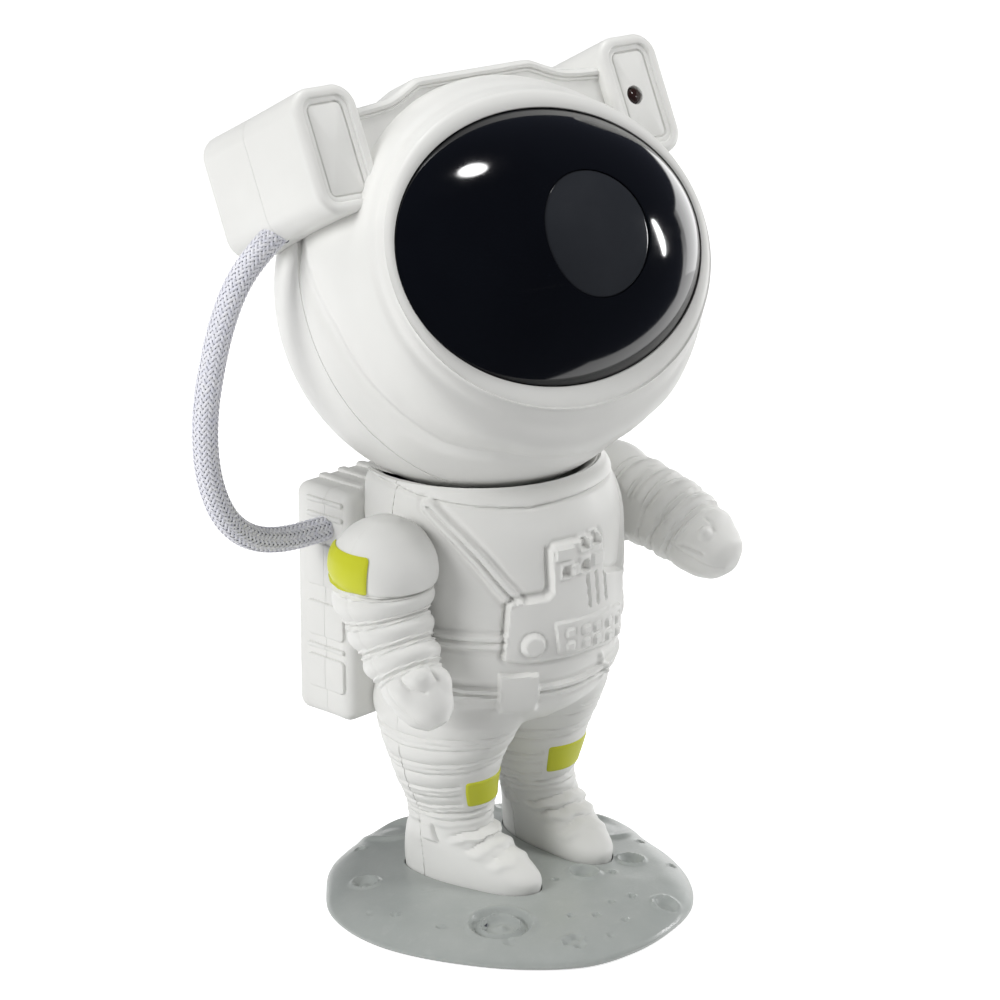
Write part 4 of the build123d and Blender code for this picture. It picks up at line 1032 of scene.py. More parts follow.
def arm_patch():
    """Patch round the outside of the right shoulder."""
    def surface(u, s, height):
        return arm_at("right", u / ARM_PATCH_R, s, 0.35 + height)

    return patch_mesh(surface, (math.radians(-16.0) * ARM_PATCH_R, 11.8), (9.4, 5.0), 1.0, 0.3)


piece("arm_patch_right", arm_patch(), "right_arm", PATCH)


# Head ----------------
# Crease where the hood leaves the ball: angle from level, y
CREASE = np.array([
    (-90.0, -17.7), (-63.6, -17.7), (-47.8, -11.5), (-34.7, -9.3), (-19.4, -6.9), (-3.7, -5.0), (11.9, 0.5),
    (24.5, 4.0), (40.0, 4.0), (90.0, 4.0),
])


CREASE_RUN = 13.0
HOOD_EDGE_Y = -33.6
HOOD_WALL = 2.2
# Lip: share of the way from the hood's edge to the visor's opening, y
LIP = [
    (0.03, -34.2), (0.12, -34.75), (0.3, -35.1), (0.55, -35.2), (0.8, -35.1), (0.94, -34.9), (1.0, -34.6),
    (1.0, -34.1), (1.0, -33.4), (1.06, -32.6), (1.06, -31.0),
]
LIP_LEAN = 0.55
VISOR_GAP = 0.25


def hood_point(angle, y, lift=0.0):
    """Outer surface of the hood at an angle round the Y axis and a place along it."""
    half_x, half_z, cz = section(HOOD, y)
    ball = np.sqrt(np.maximum(HEAD_R**2 - y**2, 1.0))
    tilt = np.degrees(np.arcsin(np.clip(np.sin(angle), -1, 1)))
    start = np.interp(tilt, CREASE[:, 0], CREASE[:, 1])
    share = 1 - (1 - np.clip((start - y) / CREASE_RUN, 0, 1)) ** 2
    lift = lift - 0.45 * swell(y + 30.6, 1.3) - 1.15 * swell(start - y - 0.6, 2.6)
    x_reach = ball + (half_x - ball) * share
    z_reach = ball + (half_z - ball) * share
    nx, nz = np.cos(angle) / x_reach, np.sin(angle) / z_reach
    size = np.hypot(nx, nz)
    return (
        x_reach * np.cos(angle) + nx / size * lift,
        y,
        cz * share + z_reach * np.sin(angle) + nz / size * lift,
    )


def hood_mesh():
    """Hood with its lip round the visor and a wall behind, ending at the helmet's seam."""
    columns = 320
    outer_y = np.concatenate([np.linspace(HELMET_SEAM_Y, -24.0, 40), np.linspace(-24.5, HOOD_EDGE_Y, 30)])
    outer = len(outer_y)
    rows = outer + len(LIP) + 1
    lip = np.array(LIP)

    def place(column, row):
        angle = 2 * math.pi * column / columns
        row = row.astype(int)
        skin = hood_point(angle, outer_y[np.clip(row, 0, outer - 1)], np.where(row == 0, -0.2, 0.0))
        share, y = lip[np.clip(row - outer, 0, len(LIP) - 1)].T
        ex, _, ez = hood_point(angle, np.full(angle.shape, HOOD_EDGE_Y))
        # the lip lies further back at the bottom, and its opening follows the visor's dome
        y = np.where((share > 0.1) & (share <= 1.0), y + LIP_LEAN * (1 - np.sin(angle)), y)
        share_of_dome = np.sqrt(1 - ((np.minimum(y, VISOR_BACK_Y) - VISOR_CENTRE[1]) / VISOR_AXES[1]) ** 2)
        gx = (VISOR_AXES[0] * share_of_dome + VISOR_GAP) * np.cos(angle)
        gz = VISOR_CENTRE[2] + (VISOR_AXES[2] * share_of_dome + VISOR_GAP) * np.sin(angle)
        point = pick(row >= outer, (ex + (gx - ex) * share, y, ez + (gz - ez) * share), skin)
        wall = hood_point(angle, np.full(angle.shape, HELMET_SEAM_Y), -HOOD_WALL)
        return np.stack(pick(row == rows, wall, point), 1)

    return with_back(wrapped(columns, rows, place))


def with_back(bm):
    """A shell whose two open rims are joined."""
    bmesh.ops.bridge_loops(bm, edges=[e for e in bm.edges if e.is_boundary])
    bmesh.ops.recalc_face_normals(bm, faces=bm.faces)
    return bm


piece("helmet_hood", hood_mesh(), "head", HELMET, ["helmet_front_shell"], HEAD)


def on_dome(x, z):
    """Front of the visor's ellipsoid."""
    a, b, c = VISOR_AXES
    under = 1 - (x / a) ** 2 - ((z - VISOR_CENTRE[2]) / c) ** 2
    return VISOR_CENTRE[1] - b * np.sqrt(np.maximum(under, 0.0))


def visor_mesh():
    """Dome with a round hole for the window: rings by share of the way out and depth below the dome."""
    columns, rings = 200, 56
    hole = WINDOW_R + 0.1
    path = [(0.0, 2.0), (0.0, 0.25), (0.004, 0.03)]
    path += [(0.012 + 0.976 * i / rings, 0.0) for i in range(rings + 1)]
    path += [(0.996, 0.08), (1.0, 0.4), (1.0, 2.0)]
    table = np.array(path)

    def place(column, row):
        angle = 2 * math.pi * column / columns
        share, inset = table[row.astype(int)].T
        x = (1 - share) * hole * np.cos(angle) + share * VISOR_RIM[0] * np.cos(angle)
        middle = (1 - share) * WINDOW_Z + share * VISOR_CENTRE[2]
        z = middle + ((1 - share) * hole + share * VISOR_RIM[1]) * np.sin(angle)
        return np.stack([x, on_dome(x, z) + inset * 0.98, z], 1)

    return with_back(wrapped(columns, len(path) - 1, place))


piece("visor_shield", visor_mesh(), "head", VISOR, ["visor"], HEAD, SHARP_ROUND)


def window_mesh():
    """Round window just below the dome: rings by radius and depth."""
    columns, rings = 128, 20
    sunk = 0.35
    path = [(WINDOW_R * (i / rings) ** 0.9, sunk) for i in range(rings)]
    path += [(WINDOW_R - sunk, sunk), (WINDOW_R - 0.08, 0.42), (WINDOW_R, 0.7), (WINDOW_R, 3.0), (0.0, 3.0)]
    table = np.array(path)

    def place(column, row):
        angle = 2 * math.pi * column / columns
        radius, inset = table[row.astype(int)].T
        x, z = radius * np.cos(angle), WINDOW_Z + radius * np.sin(angle)
        return np.stack([x, on_dome(x, z) + inset, z], 1)

    return wrapped(columns, len(path) - 1, place)


WINDOW_NODES = ["projection_lens"]
piece("projection_window", window_mesh(), "head", WINDOW, WINDOW_NODES, HEAD, SHARP_ROUND)


# Ear pods and brow band
# Pod front from its outer edge inward: inset, y
POD_FACE = [
    (1.8, -26.1), (2.6, -26.1), (2.8, -26.0), (2.95, -25.6), (3.1, -25.4), (3.4, -25.45), (4.1, -25.45),
    (4.3, -25.35), (4.4, -24.95), (4.6, -24.8), (4.8, -24.95), (4.9, -25.2), (5.1, -25.3),
]
RECEIVER_HOLE = {"radius1": 2.0, "radius2": 3.1, "depth": 3.6}


def pod_mesh(side):
    """Ear pod with a stepped frame round its sunken front panel, seated on the helmet."""
    steps = POD_FACE[::-1] + rounded_edge(*POD_Y, 1.6, 4)
    pod = rounded_prism((side * POD_X, POD_Z), (POD_SIZE[0] / 2, POD_SIZE[1] / 2), POD_CORNER, steps, 96)
    seat = bmesh.new()
    bmesh.ops.create_uvsphere(seat, u_segments=128, v_segments=80, radius=HEAD_R * 1.002)
    tools = [seat]
    if side > 0:
        hole = bmesh.new()
        turn = Matrix.Translation((IR_AT[0], -25.0, IR_AT[1])) @ Matrix.Rotation(math.radians(90), 4, "X")
        bmesh.ops.create_cone(hole, cap_ends=True, segments=48, matrix=turn, **RECEIVER_HOLE)
        tools.append(hole)
    return combined(pod, tools, "DIFFERENCE")


for name, side in (("right", -1), ("left", 1)):
    pods, shells = ([f"{kind}_{name}_{half}" for half in ("front", "back")] for kind in ("pod", "earpod"))
    halves(pods, pod_mesh(side), POD_SEAM_Y, POD_SEAM, "head", HELMET, shells, HEAD, SHARP_CASE)


# Right half of the bar's top outline: x, z
BROW_TOP = [(42.0, 48.0), (36.0, 48.4), (29.5, 49.0), (26.0, 50.2), (19.0, 53.4)]
# Section of the bar: depth below its top, y
BROW_SECTION = np.array([
    (14.0, -22.7), (3.7, -22.7), (3.3, -22.8), (3.1, -23.3), (2.7, -23.4), (2.55, -23.15), (2.4, -23.2),
    (2.2, -23.8), (1.5, -24.1), (0.7, -23.8), (0.2, -23.2), (0.0, -22.4), (0.0, -12.8), (0.3, -12.1),
    (1.0, -12.0), (14.0, -12.0),
])
# Depth down to which the section leans with the outline
BROW_LEAN = 3.0


def brow_mesh():
    """Bar over the hood with a rounded bead along its top."""
    count = 121
    top = np.array(BROW_TOP + [(-x, z) for x, z in reversed(BROW_TOP)])
    length = np.concatenate([[0], np.cumsum(np.hypot(*np.diff(top, axis=0).T))])
    fine = np.linspace(0, length[-1], count)
    line = np.stack([np.interp(fine, length, top[:, k]) for k in (0, 1)], 1)
    # rounded corners
    for _ in range(6):
        line[1:-1] = (line[:-2] + 2 * line[1:-1] + line[2:]) / 4
    slope = np.gradient(line, axis=0)
    slope /= np.linalg.norm(slope, axis=1)[:, None]
    down = np.stack([-slope[:, 1], slope[:, 0]], 1)

    def place(column, row):
        column, row = column.astype(int) % len(BROW_SECTION), row.astype(int)
        at = np.clip(row - 1, 0, count - 1)
        depth, y = BROW_SECTION[column].T
        x, z = (line[at] + down[at] * np.minimum(depth, BROW_LEAN)[:, None]).T
        z = z - np.maximum(depth - BROW_LEAN, 0.0)
        ends = (line[at, 0], -17.0, line[at, 1] - 7.0)
        return np.stack(pick((row == 0) | (row == count + 1), ends, (x, y, z)), 1)

    return wrapped(len(BROW_SECTION), count + 1, place)


piece("brow_bar", brow_mesh(), "head", HELMET, ["brow_band"], HEAD)


# Backpack ----------------

# On the case's sides, height and half-height: ribs (the last on the left side only) and panels
RIBS = [(112.0, 0.75), (107.8, 0.75), (103.7, 0.75)]
SIDE_PANELS = [(78.6, 4.9), (63.5, 4.7), (94.0, 6.0)]
SLATS = 9
# On its back: height, half-width, half-height, corner, rise, rounding, points round
REAR_PANELS = [
    (99.5, 25.0, 10.5, 3.0, 0.8, 0.7, 64), (74.0, 25.0, 11.0, 3.0, 0.8, 0.7, 64),
    (58.2, 22.0, 0.9, 0.8, 0.7, 0.5, 32), (55.0, 22.0, 0.9, 0.8, 0.7, 0.5, 32),
]


def pack_mesh():
    """Rounded case with side ribs, panels and slats along its top."""
    centre, half = zip(*(((low + high) / 2, (high - low) / 2) for low, high in (PACK_Y, PACK_Z)))
    core = rounded_prism(centre, half, 3.5, rounded_edge(-PACK_HALF, PACK_HALF, 3.2, 6), 64, "X")
    extras = []
    for side in (-1, 1):
        low, high = sorted((side * (PACK_HALF - 1.5), side * (PACK_HALF + 0.75)))
        edge = rounded_edge(low, high, 0.5)
        for z, height in RIBS[:2] if side < 0 else RIBS:
            extras.append(rounded_prism((PACK_SIDE_Y, z), (6.8, height), 0.7, edge, 24, "X"))
        for z, height in SIDE_PANELS:
            extras.append(rounded_prism((PACK_SIDE_Y, z), (6.9, height), 1.4, edge, 40, "X"))
        extras.append(rounded_prism((PACK_SIDE_Y, 70.7), (6.9, 0.7), 0.65, edge, 24, "X"))
    edge = rounded_edge(PACK_Z[1] - 1.5, PACK_Z[1] + 0.7, 0.5)
    for index in range(SLATS):
        extras.append(rounded_prism((-28.0 + 7.0 * index, 36.7), (1.5, 8.6), 1.3, edge, 24, "Z"))
    for z, width, height, corner, rise, rounding, count in REAR_PANELS:
        edge = rounded_edge(PACK_Y[1] - 2, PACK_Y[1] + rise, rounding)
        extras.append(rounded_prism((0, z), (width, height), corner, edge, count))
    return combined(core, extras, "UNION")


PACK_NODES = ["backpack_front_shell", "backpack_back_shell"]
halves(["pack_front", "pack_back"], pack_mesh(), PACK_SEAM_Y, PACK_SEAM, "torso", SUIT, PACK_NODES, sharp=SHARP_CASE)


# Moon base ----------------
# Craters: x, y, radius, depth, rim height
CRATERS = [
    (6.8, -19.4, 3.7, 0.9, 0.35), (23.6, -21.6, 3.2, 0.8, 0.3), (11.0, -45.4, 3.3, 0.8, 0.3),
    (-2.4, -17.3, 1.0, 0.35, 0.12), (13.0, -24.1, 1.1, 0.4, 0.12), (6.1, -37.2, 1.1, 0.4, 0.14),
    (-1.0, -36.2, 1.0, 0.35, 0.12), (-14.5, -34.0, 1.0, 0.35, 0.12), (-9.2, -38.3, 1.2, 0.4, 0.14),
    (-5.4, -45.3, 1.0, 0.35, 0.12), (-13.8, -47.6, 1.1, 0.35, 0.12), (-23.5, -50.5, 1.2, 0.35, 0.12),
    (-36.3, -31.7, 1.4, 0.4, 0.14), (-45.2, 1.3, 1.3, 0.4, 0.14), (-42.3, -13.0, 1.2, 0.4, 0.12),
    (-4.0, 43.0, 7.6, 0.55, 0.5), (36.0, 1.5, 8.5, 0.45, 0.35), (30.0, 30.0, 4.0, 0.8, 0.3),
    (-36.0, 22.0, 3.2, 0.7, 0.28), (18.0, 38.0, 1.2, 0.4, 0.12), (-20.0, 40.0, 1.4, 0.4, 0.14),
    (-48.0, 8.0, 1.0, 0.3, 0.1), (36.0, -14.0, 1.1, 0.35, 0.12), (31.0, -30.0, 1.2, 0.4, 0.12),
]
RING_CRATER = (-31.0, -23.9)
TREFOIL = [(-24.9, -42.9), (-22.5, -43.1), (-23.7, -45.2)]
SCRATCHES = [[(-33.5, 5.0), (-28.6, 1.4)], [(-31.0, 5.2), (-26.4, 2.2)], [(-33.0, 1.0), (-30.6, 3.2)]]


def ground_height(x, y):
    """Cratered surface over the base's dome."""
    z = BASE_CROWN_Z - BASE_DOME_R + np.sqrt(BASE_DOME_R**2 - x**2 - y**2)
    for cx, cy, radius, depth, rim in CRATERS:
        r = np.hypot(x - cx, y - cy) / radius
        z = z - 1.7 * depth * raised(r - 0.78, 0.55) + 1.9 * rim * swell(r - 1.15, 0.17)
        z = z + 0.35 * depth * swell(r, 0.3)
    r = np.hypot(x - RING_CRATER[0], y - RING_CRATER[1])
    z = z + 0.6 * swell(r - 8.8, 0.8) - 1.3 * raised(r - 7.7, 1.1)
    z = z + 1.3 * swell(r - 5.4, 0.8) - 0.5 * raised(r - 4.3, 1.1) + 1.1 * swell(r, 1.5)
    for cx, cy in TREFOIL:
        r = np.hypot(x - cx, y - cy)
        z = z - 0.9 * raised(r - 1.2, 1.1) + 0.4 * swell(r - 2.2, 0.4)
    for line in SCRATCHES:
        z = z - 0.22 * raised(line_distance(x, y, line) - 0.1, 0.5)
    z = z + 0.14 * wave(x + 0.6 * y, 0.4, 6.5) * wave(y - 0.4 * x, 2.2, 7.5)
    return z


# Height and inset of each step from the rim's edge down and in to the pocket's roof
BASE_STEPS = np.array([
    (0.0, 0.0), (EDGE_Z - 0.2, -0.05), (EDGE_Z - 0.7, 0.0), (BASE_BOTTOM_Z, 0.5), (BASE_BOTTOM_Z, 0.0),
    (BASE_ROOF_Z, 0.0), (BASE_ROOF_Z, 0.0),
])
POCKET_STEP = 4
SHOULDER_RUN = 9.0
BOOT_CLEARANCE = 0.42


def base_mesh():
    """Cratered base with a rounded shoulder, a pocket below and recesses for the boots."""
    columns, rings, last = 380, 112, len(BASE_STEPS) - 1
    knots = np.arange(-3, len(BASE_RIM) + 4)
    cycle = BASE_RIM[knots % len(BASE_RIM)]
    rim = through(knots.astype(float), cycle, np.linspace(0, len(BASE_RIM), columns + 1))

    def place(column, row):
        at = rim[column.astype(int)]
        share = np.clip(row / rings, 0, 1)
        x, y = at[:, 0] * share, at[:, 1] * share
        z = ground_height(x, y)
        size = np.hypot(at[:, 0], at[:, 1])
        slope = np.clip(size * (1 - share) / SHOULDER_RUN, 0, 1)
        z = EDGE_Z + (z - EDGE_Z) * (1 - (1 - slope) ** 2.2) ** 0.6
        step = np.clip(row - rings, 0, last).astype(int)
        height, inset = BASE_STEPS[step].T
        scale = (size - inset) / size
        angle = np.arctan2(at[:, 1], at[:, 0])
        radius = np.where(step == last, 0.0, BASE_POCKET_R)
        pocket = radius * np.cos(angle), radius * np.sin(angle)
        below = pick(step >= POCKET_STEP, pocket, (at[:, 0] * scale, at[:, 1] * scale))
        return np.stack(pick(step > 0, (*below, height), (x, y, z)), 1)

    ground = wrapped(columns, rings + last, place)
    soles = [leg_mesh(side, BOOT_CLEARANCE, 16.0, 6.0, 120, 24) for side in (-1, 1)]
    return combined(ground, soles, "DIFFERENCE")


piece("moon_ground", base_mesh(), "torso", MOON, ["moon_base"], None, 40.0)


# Braided hose ----------------

def route_points(name, points):
    """Points along the smooth line of a hose's route."""
    data = bpy.data.curves.new(name, "CURVE")
    data.dimensions = "3D"
    spline = data.splines.new("NURBS")
    spline.points.add(len(points) - 1)
    for point, co in zip(spline.points, points):
        point.co = (*co, 1.0)
    spline.order_u = 3
    spline.use_endpoint_u = True
    spline.resolution_u = 24
    carrier = bpy.data.objects.new(name, data)
    scene.collection.objects.link(carrier)
    bpy.context.view_layer.update()
    graph = bpy.context.evaluated_depsgraph_get()
    mesh = bpy.data.meshes.new_from_object(carrier.evaluated_get(graph))
    line = np.array([v.co for v in mesh.vertices])
    bpy.data.objects.remove(carrier)
    bpy.data.meshes.remove(mesh)
    return line


def line_frames(line, spacing):
    """Evenly spaced points along a line with two steady directions across it, and its length."""
    steps = np.linalg.norm(np.diff(line, axis=0), axis=1)
    total = steps.sum()
    count = int(total / spacing) + 1
    length = np.concatenate([[0], np.cumsum(steps)])
    at = np.linspace(0, length[-1], count)
    centre = np.stack([np.interp(at, length, line[:, k]) for k in range(3)], 1)
    along = np.gradient(centre, axis=0)
    along /= np.linalg.norm(along, axis=1)[:, None]
    side = np.tile((0.0, 1.0, 0.0), (count, 1))
    side -= along * (side * along).sum(1)[:, None]
    side /= np.linalg.norm(side, axis=1)[:, None]
    return at, centre, side, np.cross(along, side), total


def around_line(centre, side, up, angle, reach):
    """Points round a line at an angle and a distance from it."""
    return centre + side * (np.cos(angle) * reach)[:, None] + up * (np.sin(angle) * reach)[:, None]


BRAID_STRANDS = 16
BRAID_PITCH = 26.0
BRAID_SPACING = 0.45
YARN_HALF = (0.40, 0.16)
YARN_SIDES = 6
YARN_DEPTH = 0.34
YARN_SWING = 0.17
CORE_DEPTH = 0.62
CORE_SPACING = 1.2
CORE_SIDES = 28


def braid_mesh(line, lead):
    """Two families of flat yarn bundles that wind opposite ways and pass over and under each other."""
    at, centre, side, up, total = line_frames(line, BRAID_SPACING)
    count = len(at)
    half_width, half_thick = YARN_HALF
    strands = []
    for family in (1, -1):
        lean = family * math.atan2(2 * math.pi * HOSE_D / 2, BRAID_PITCH)
        for index in range(BRAID_STRANDS):
            base = 2 * math.pi * index / BRAID_STRANDS
            turn = base + family * 2 * math.pi * (at + lead) / BRAID_PITCH
            phase = (0 if family > 0 else math.pi) + math.pi * index
            over = np.cos(turn * BRAID_STRANDS / 2 - family * base * BRAID_STRANDS / 2 + phase)
            radius = HOSE_D / 2 - YARN_DEPTH + YARN_SWING * over

            def place(column, row, turn=turn, radius=radius, lean=lean):
                k = np.clip(row - 1, 0, count - 1).astype(int)
                c, a, b = centre[k], side[k], up[k]
                corner = column / YARN_SIDES * 2 * math.pi
                across, outward = half_width * np.cos(corner), half_thick * np.sin(corner)
                spin = turn[k] + across * math.cos(lean) / (HOSE_D / 2)
                point = around_line(c, a, b, spin, radius[k] + outward)
                point = point - np.cross(a, b) * (across * math.sin(lean))[:, None]
                pole = (row == 0) | (row == count + 1)
                return np.where(pole[:, None], around_line(c, a, b, turn[k], radius[k]), point)

            strands.append(wrapped(YARN_SIDES, count + 1, place))
    return joined(*strands), total


def core_mesh(line):
    """Plain tube under the braid."""
    at, centre, side, up, _ = line_frames(line, CORE_SPACING)
    count = len(at)

    def place(column, row):
        k = np.clip(row - 1, 0, count - 1).astype(int)
        reach = np.where((row == 0) | (row == count + 1), 0.0, HOSE_D / 2 - CORE_DEPTH)
        return around_line(centre[k], side[k], up[k], 2 * math.pi * column / CORE_SIDES, reach)

    return wrapped(CORE_SIDES, count + 1, place)


def hose_length(part, route, lead):
    """Braid and core of one length of the hose, running between two bodies but riding on neither; returns its
    length.
    """
    line = route_points(part, route)
    bm, total = braid_mesh(line, lead)
    sleeve_nodes = [f"umbilical_hose_{part}"]
    sleeve = piece(f"braided_hose_{part}", bm, None, BRAID, sleeve_nodes, sharp=SHARP_HOSE)
    core = piece(f"hose_core_{part}", core_mesh(line), None, HOSE_CORE, sharp=SHARP_HOSE)
    for obj in (sleeve, core):
        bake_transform(obj)
    return total


lower_length = hose_length("lower", HOSE_LOWER, 0.0)
hose_length("upper", HOSE_UPPER, lower_length)


# Nodes that keep their CAD shape ----------------
SLOT_OF = {p["node"]: p["material_slot"] for p in frame["record"]["subparts"]}


def record_finishes():
    """A finish for every material slot of the record that a CAD node still shows."""
    # colour, its shade, least and most roughness, grain, metal
    looks = {
        "grommet_grey": ((120, 124, 130), (104, 108, 114), (0.45, 0.6), 0.15, 0.0),
        "pad_black": ((30, 30, 32), (22, 22, 24), (0.75, 0.9), 0.5, 0.0),
        "screw_steel": ((176, 178, 182), (158, 160, 165), (0.25, 0.4), 0.1, 1.0),
        "magnet_nickel": ((196, 192, 184), (178, 175, 168), (0.15, 0.3), 0.05, 1.0),
        "keeper_steel": ((170, 172, 176), (150, 152, 157), (0.3, 0.45), 0.1, 1.0),
        "board_green": ((28, 92, 58), (20, 76, 46), (0.35, 0.5), 0.15, 0.0),
        "emitter_yellow": ((240, 214, 96), (228, 200, 82), (0.3, 0.45), 0.1, 0.0),
        "cooler_aluminium": ((192, 194, 197), (176, 178, 182), (0.3, 0.45), 0.15, 1.0),
        "laser_brass": ((196, 164, 92), (178, 146, 78), (0.22, 0.36), 0.08, 1.0),
        "motor_steel": ((182, 184, 188), (164, 166, 171), (0.28, 0.42), 0.1, 1.0),
        "gear_nylon": ((226, 224, 214), (214, 212, 202), (0.4, 0.55), 0.1, 0.0),
        "ripple_acrylic": ((222, 232, 236), (208, 222, 228), (0.05, 0.12), 0.4, 0.0),
        "grating_film": ((168, 176, 196), (150, 160, 184), (0.1, 0.2), 0.1, 0.3),
        "lens_clear": ((214, 224, 230), (204, 216, 224), (0.02, 0.06), 0.01, 0.0),
        "frame_black": ((34, 34, 37), (25, 25, 28), (0.5, 0.65), 0.2, 0.0),
        "seat_white": ((218, 218, 214), (208, 208, 205), (0.45, 0.6), 0.1, 0.0),
        "washer_white": ((232, 232, 228), (222, 222, 219), (0.4, 0.5), 0.08, 0.0),
        "switch_black": ((28, 28, 30), (20, 20, 22), (0.4, 0.55), 0.1, 0.0),
        "socket_steel": ((188, 190, 194), (168, 170, 175), (0.25, 0.38), 0.06, 1.0),
        "receiver_dark": ((52, 34, 30), (38, 24, 22), (0.08, 0.16), 0.02, 0.0),
        "button_grey": ((196, 198, 200), (184, 186, 189), (0.42, 0.55), 0.12, 0.0),
    }
    made = {name: moulded(name, *look) for name, look in looks.items()}
    made.update({
        "suit_white": HELMET, "visor_black": VISOR, "window_smoke": WINDOW, "base_grey": MOON, "hose_white": BRAID,
    })
    return made


FINISHES = record_finishes()
SMOOTHED = (
    "helmet_back_shell", "neck_seat", "power_button", "nebula_button", "star_button", "usb_socket", "ir_receiver",
    "hose_grommet_backpack", "hose_grommet_earpod", "base_bottom_plate", "anti_slip_pad", "lens_holder",
    "base_plate_screws",
)
for node, obj in frame["nodes"].items():
    finish = FINISHES[SLOT_OF[node]]
    if node in SMOOTHED:
        smooth_node(node, finish)
    elif not obj.hide_render:
        obj.data.materials.clear()
        obj.data.materials.append(finish)


# Floor, backdrop and light ----------------

def seen_directly(tree):
    """1 for rays from the camera, a mirror or glass, which show the white background."""
    path = tree.nodes.new("ShaderNodeLightPath")
    total = path.outputs["Is Camera Ray"]
    for name in ("Is Glossy Ray", "Is Transmission Ray"):
        add = tree.nodes.new("ShaderNodeMath")
        add.operation = "MAXIMUM"
        tree.links.new(total, add.inputs[0])
        tree.links.new(path.outputs[name], add.inputs[1])
        total = add.outputs[0]
    return total


WHITE = (1.0, 1.0, 1.0, 1.0)
FLOOR_GREY = (0.7, 0.7, 0.7, 1.0)
FLOOR_R = 6.0
FLOOR_GLOW = 0.8
WORLD_LIGHT = 0.24
FLAG_COLOUR = (0.055, 0.06, 0.08, 1.0)
FLAG_R = 4.0
# Side card: radius, angles it spans, heights it spans, strength
SIDE_R = 0.6
SIDE_TURN = (-4.0, 42.0)
SIDE_Z = (0.01, 0.24)
SIDE_GLOW = 2.2


def bare_tree(owner, output):
    """Emptied nodes of a material or world, with the surface socket of a new output."""
    owner.use_nodes = True
    owner.node_tree.nodes.clear()
    return owner.node_tree, owner.node_tree.nodes.new(output).inputs["Surface"]


def shader(tree, kind, colour, strength=None):
    """Shader node with a colour and, where it takes one, a strength."""
    made = tree.nodes.new(kind)
    made.inputs["Color"].default_value = colour
    if strength is not None:
        made.inputs["Strength"].default_value = strength
    return made


def floor():
    """White to the eye and in reflections, pale grey to the light."""
    bm = bmesh.new()
    bmesh.ops.create_circle(bm, cap_ends=True, segments=96, radius=FLOOR_R)
    obj = as_object(bm, "floor")
    material = bpy.data.materials.new("floor_white")
    tree, surface = bare_tree(material, "ShaderNodeOutputMaterial")
    diffuse = shader(tree, "ShaderNodeBsdfDiffuse", FLOOR_GREY)
    glow = shader(tree, "ShaderNodeEmission", WHITE)
    strength = tree.nodes.new("ShaderNodeMath")
    strength.operation = "MULTIPLY"
    strength.inputs[1].default_value = FLOOR_GLOW
    tree.links.new(seen_directly(tree), strength.inputs[0])
    tree.links.new(strength.outputs[0], glow.inputs["Strength"])
    add = tree.nodes.new("ShaderNodeAddShader")
    tree.links.new(diffuse.outputs[0], add.inputs[0])
    tree.links.new(glow.outputs[0], add.inputs[1])
    tree.links.new(add.outputs[0], surface)
    obj.data.materials.append(material)


def world():
    """White backdrop over a soft even light."""
    scene.world = bpy.data.worlds.new("studio")
    tree, surface = bare_tree(scene.world, "ShaderNodeOutputWorld")
    mix = tree.nodes.new("ShaderNodeMixShader")
    tree.links.new(seen_directly(tree), mix.inputs["Fac"])
    for socket, strength in ((1, WORLD_LIGHT), (2, 1.0)):
        shown = shader(tree, "ShaderNodeBackground", WHITE, strength)
        tree.links.new(shown.outputs[0], mix.inputs[socket])
    tree.links.new(mix.outputs[0], surface)


def area_light(name, at, to, size, power, mirrored):
    """Oval light that points from one place to another, seen in gloss or not."""
    light = bpy.data.lights.new(name, "AREA")
    light.shape = "ELLIPSE"
    light.size, light.size_y = size
    light.energy = power
    obj = bpy.data.objects.new(name, light)
    scene.collection.objects.link(obj)
    obj.location = Vector(at)
    obj.rotation_mode = "QUATERNION"
    obj.rotation_quaternion = (Vector(to) - Vector(at)).to_track_quat("-Z", "Y")
    obj.visible_glossy = mirrored


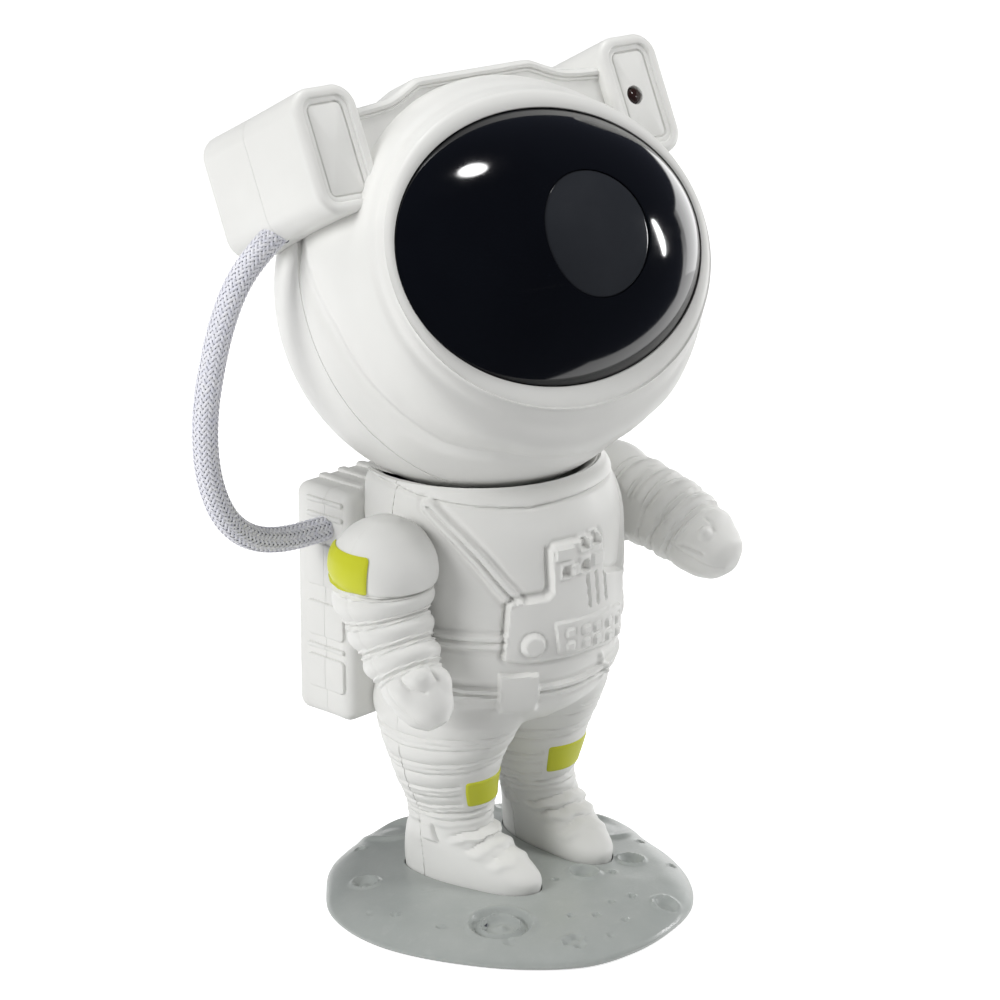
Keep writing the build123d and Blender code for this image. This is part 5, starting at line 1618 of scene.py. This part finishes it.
def flag_card(name, bm, colour, strength):
    """Card beside the set that only polished surfaces show."""
    obj = as_object(bm, name)
    material = bpy.data.materials.new(name)
    tree, surface = bare_tree(material, "ShaderNodeOutputMaterial")
    tree.links.new(shader(tree, "ShaderNodeEmission", colour, strength).outputs[0], surface)
    obj.data.materials.append(material)
    obj.visible_camera = obj.visible_diffuse = obj.visible_transmission = obj.visible_shadow = False


def dark_flags():
    """Dark cards round and under the set, open at the low right."""
    bm = bmesh.new()
    bmesh.ops.create_uvsphere(bm, u_segments=72, v_segments=48, radius=FLAG_R)
    opening = []
    for face in bm.faces:
        x, y, z = face.calc_center_median() / FLAG_R
        if (y > -0.08 and x > 0.0 and z < 0.13) or z < -0.05:
            opening.append(face)
    bmesh.ops.delete(bm, geom=opening, context="FACES")
    # the floor card starts in front of the object
    corners = [
        (-3.9, -3.9), (3.9, -3.9), (3.9, -0.45), (0.45, -0.075), (0.10, -0.115), (0.03, -0.085), (-0.4, -0.12),
        (-3.9, -0.5),
    ]
    bm.faces.new([bm.verts.new((x, y, 0.001)) for x, y in corners])
    flag_card("dark_flags", bm, FLAG_COLOUR, 1.0)


def side_card():
    """Bright curved card that draws the glint along the visor's right edge."""
    bm = bmesh.new()
    bmesh.ops.create_grid(bm, x_segments=12, y_segments=1, size=1.0)
    for v in bm.verts:
        across, rise = (v.co.x + 1) / 2, (v.co.y + 1) / 2
        turn = math.radians(SIDE_TURN[0] + (SIDE_TURN[1] - SIDE_TURN[0]) * across)
        z = SIDE_Z[0] + (SIDE_Z[1] - SIDE_Z[0]) * rise
        v.co = (SIDE_R * math.cos(turn), SIDE_R * math.sin(turn), z)
    flag_card("side_card", bm, WHITE, SIDE_GLOW)


floor()
world()
dark_flags()
side_card()
LIT_POINT = (0.0, 0.0, 0.12)
# Lamps: place, size, power, whether polished surfaces show them
LAMPS = {
    "overhead_lamp": ((0.10, 0.10, 1.42), (0.24, 0.24), 4.4, True),
    "right_strip": ((1.06, -0.50, 0.26), (0.08, 0.36), 2.6, True),
    "left_softbox": ((-1.25, 0.22, 0.78), (0.8, 0.8), 13.4, False),
    "right_softbox": ((0.75, -0.90, 1.25), (0.8, 0.8), 10.2, False),
}
for name, (at, size, power, mirrored) in LAMPS.items():
    area_light(name, at, LIT_POINT, size, power, mirrored)

scene.view_settings.view_transform = "Standard"
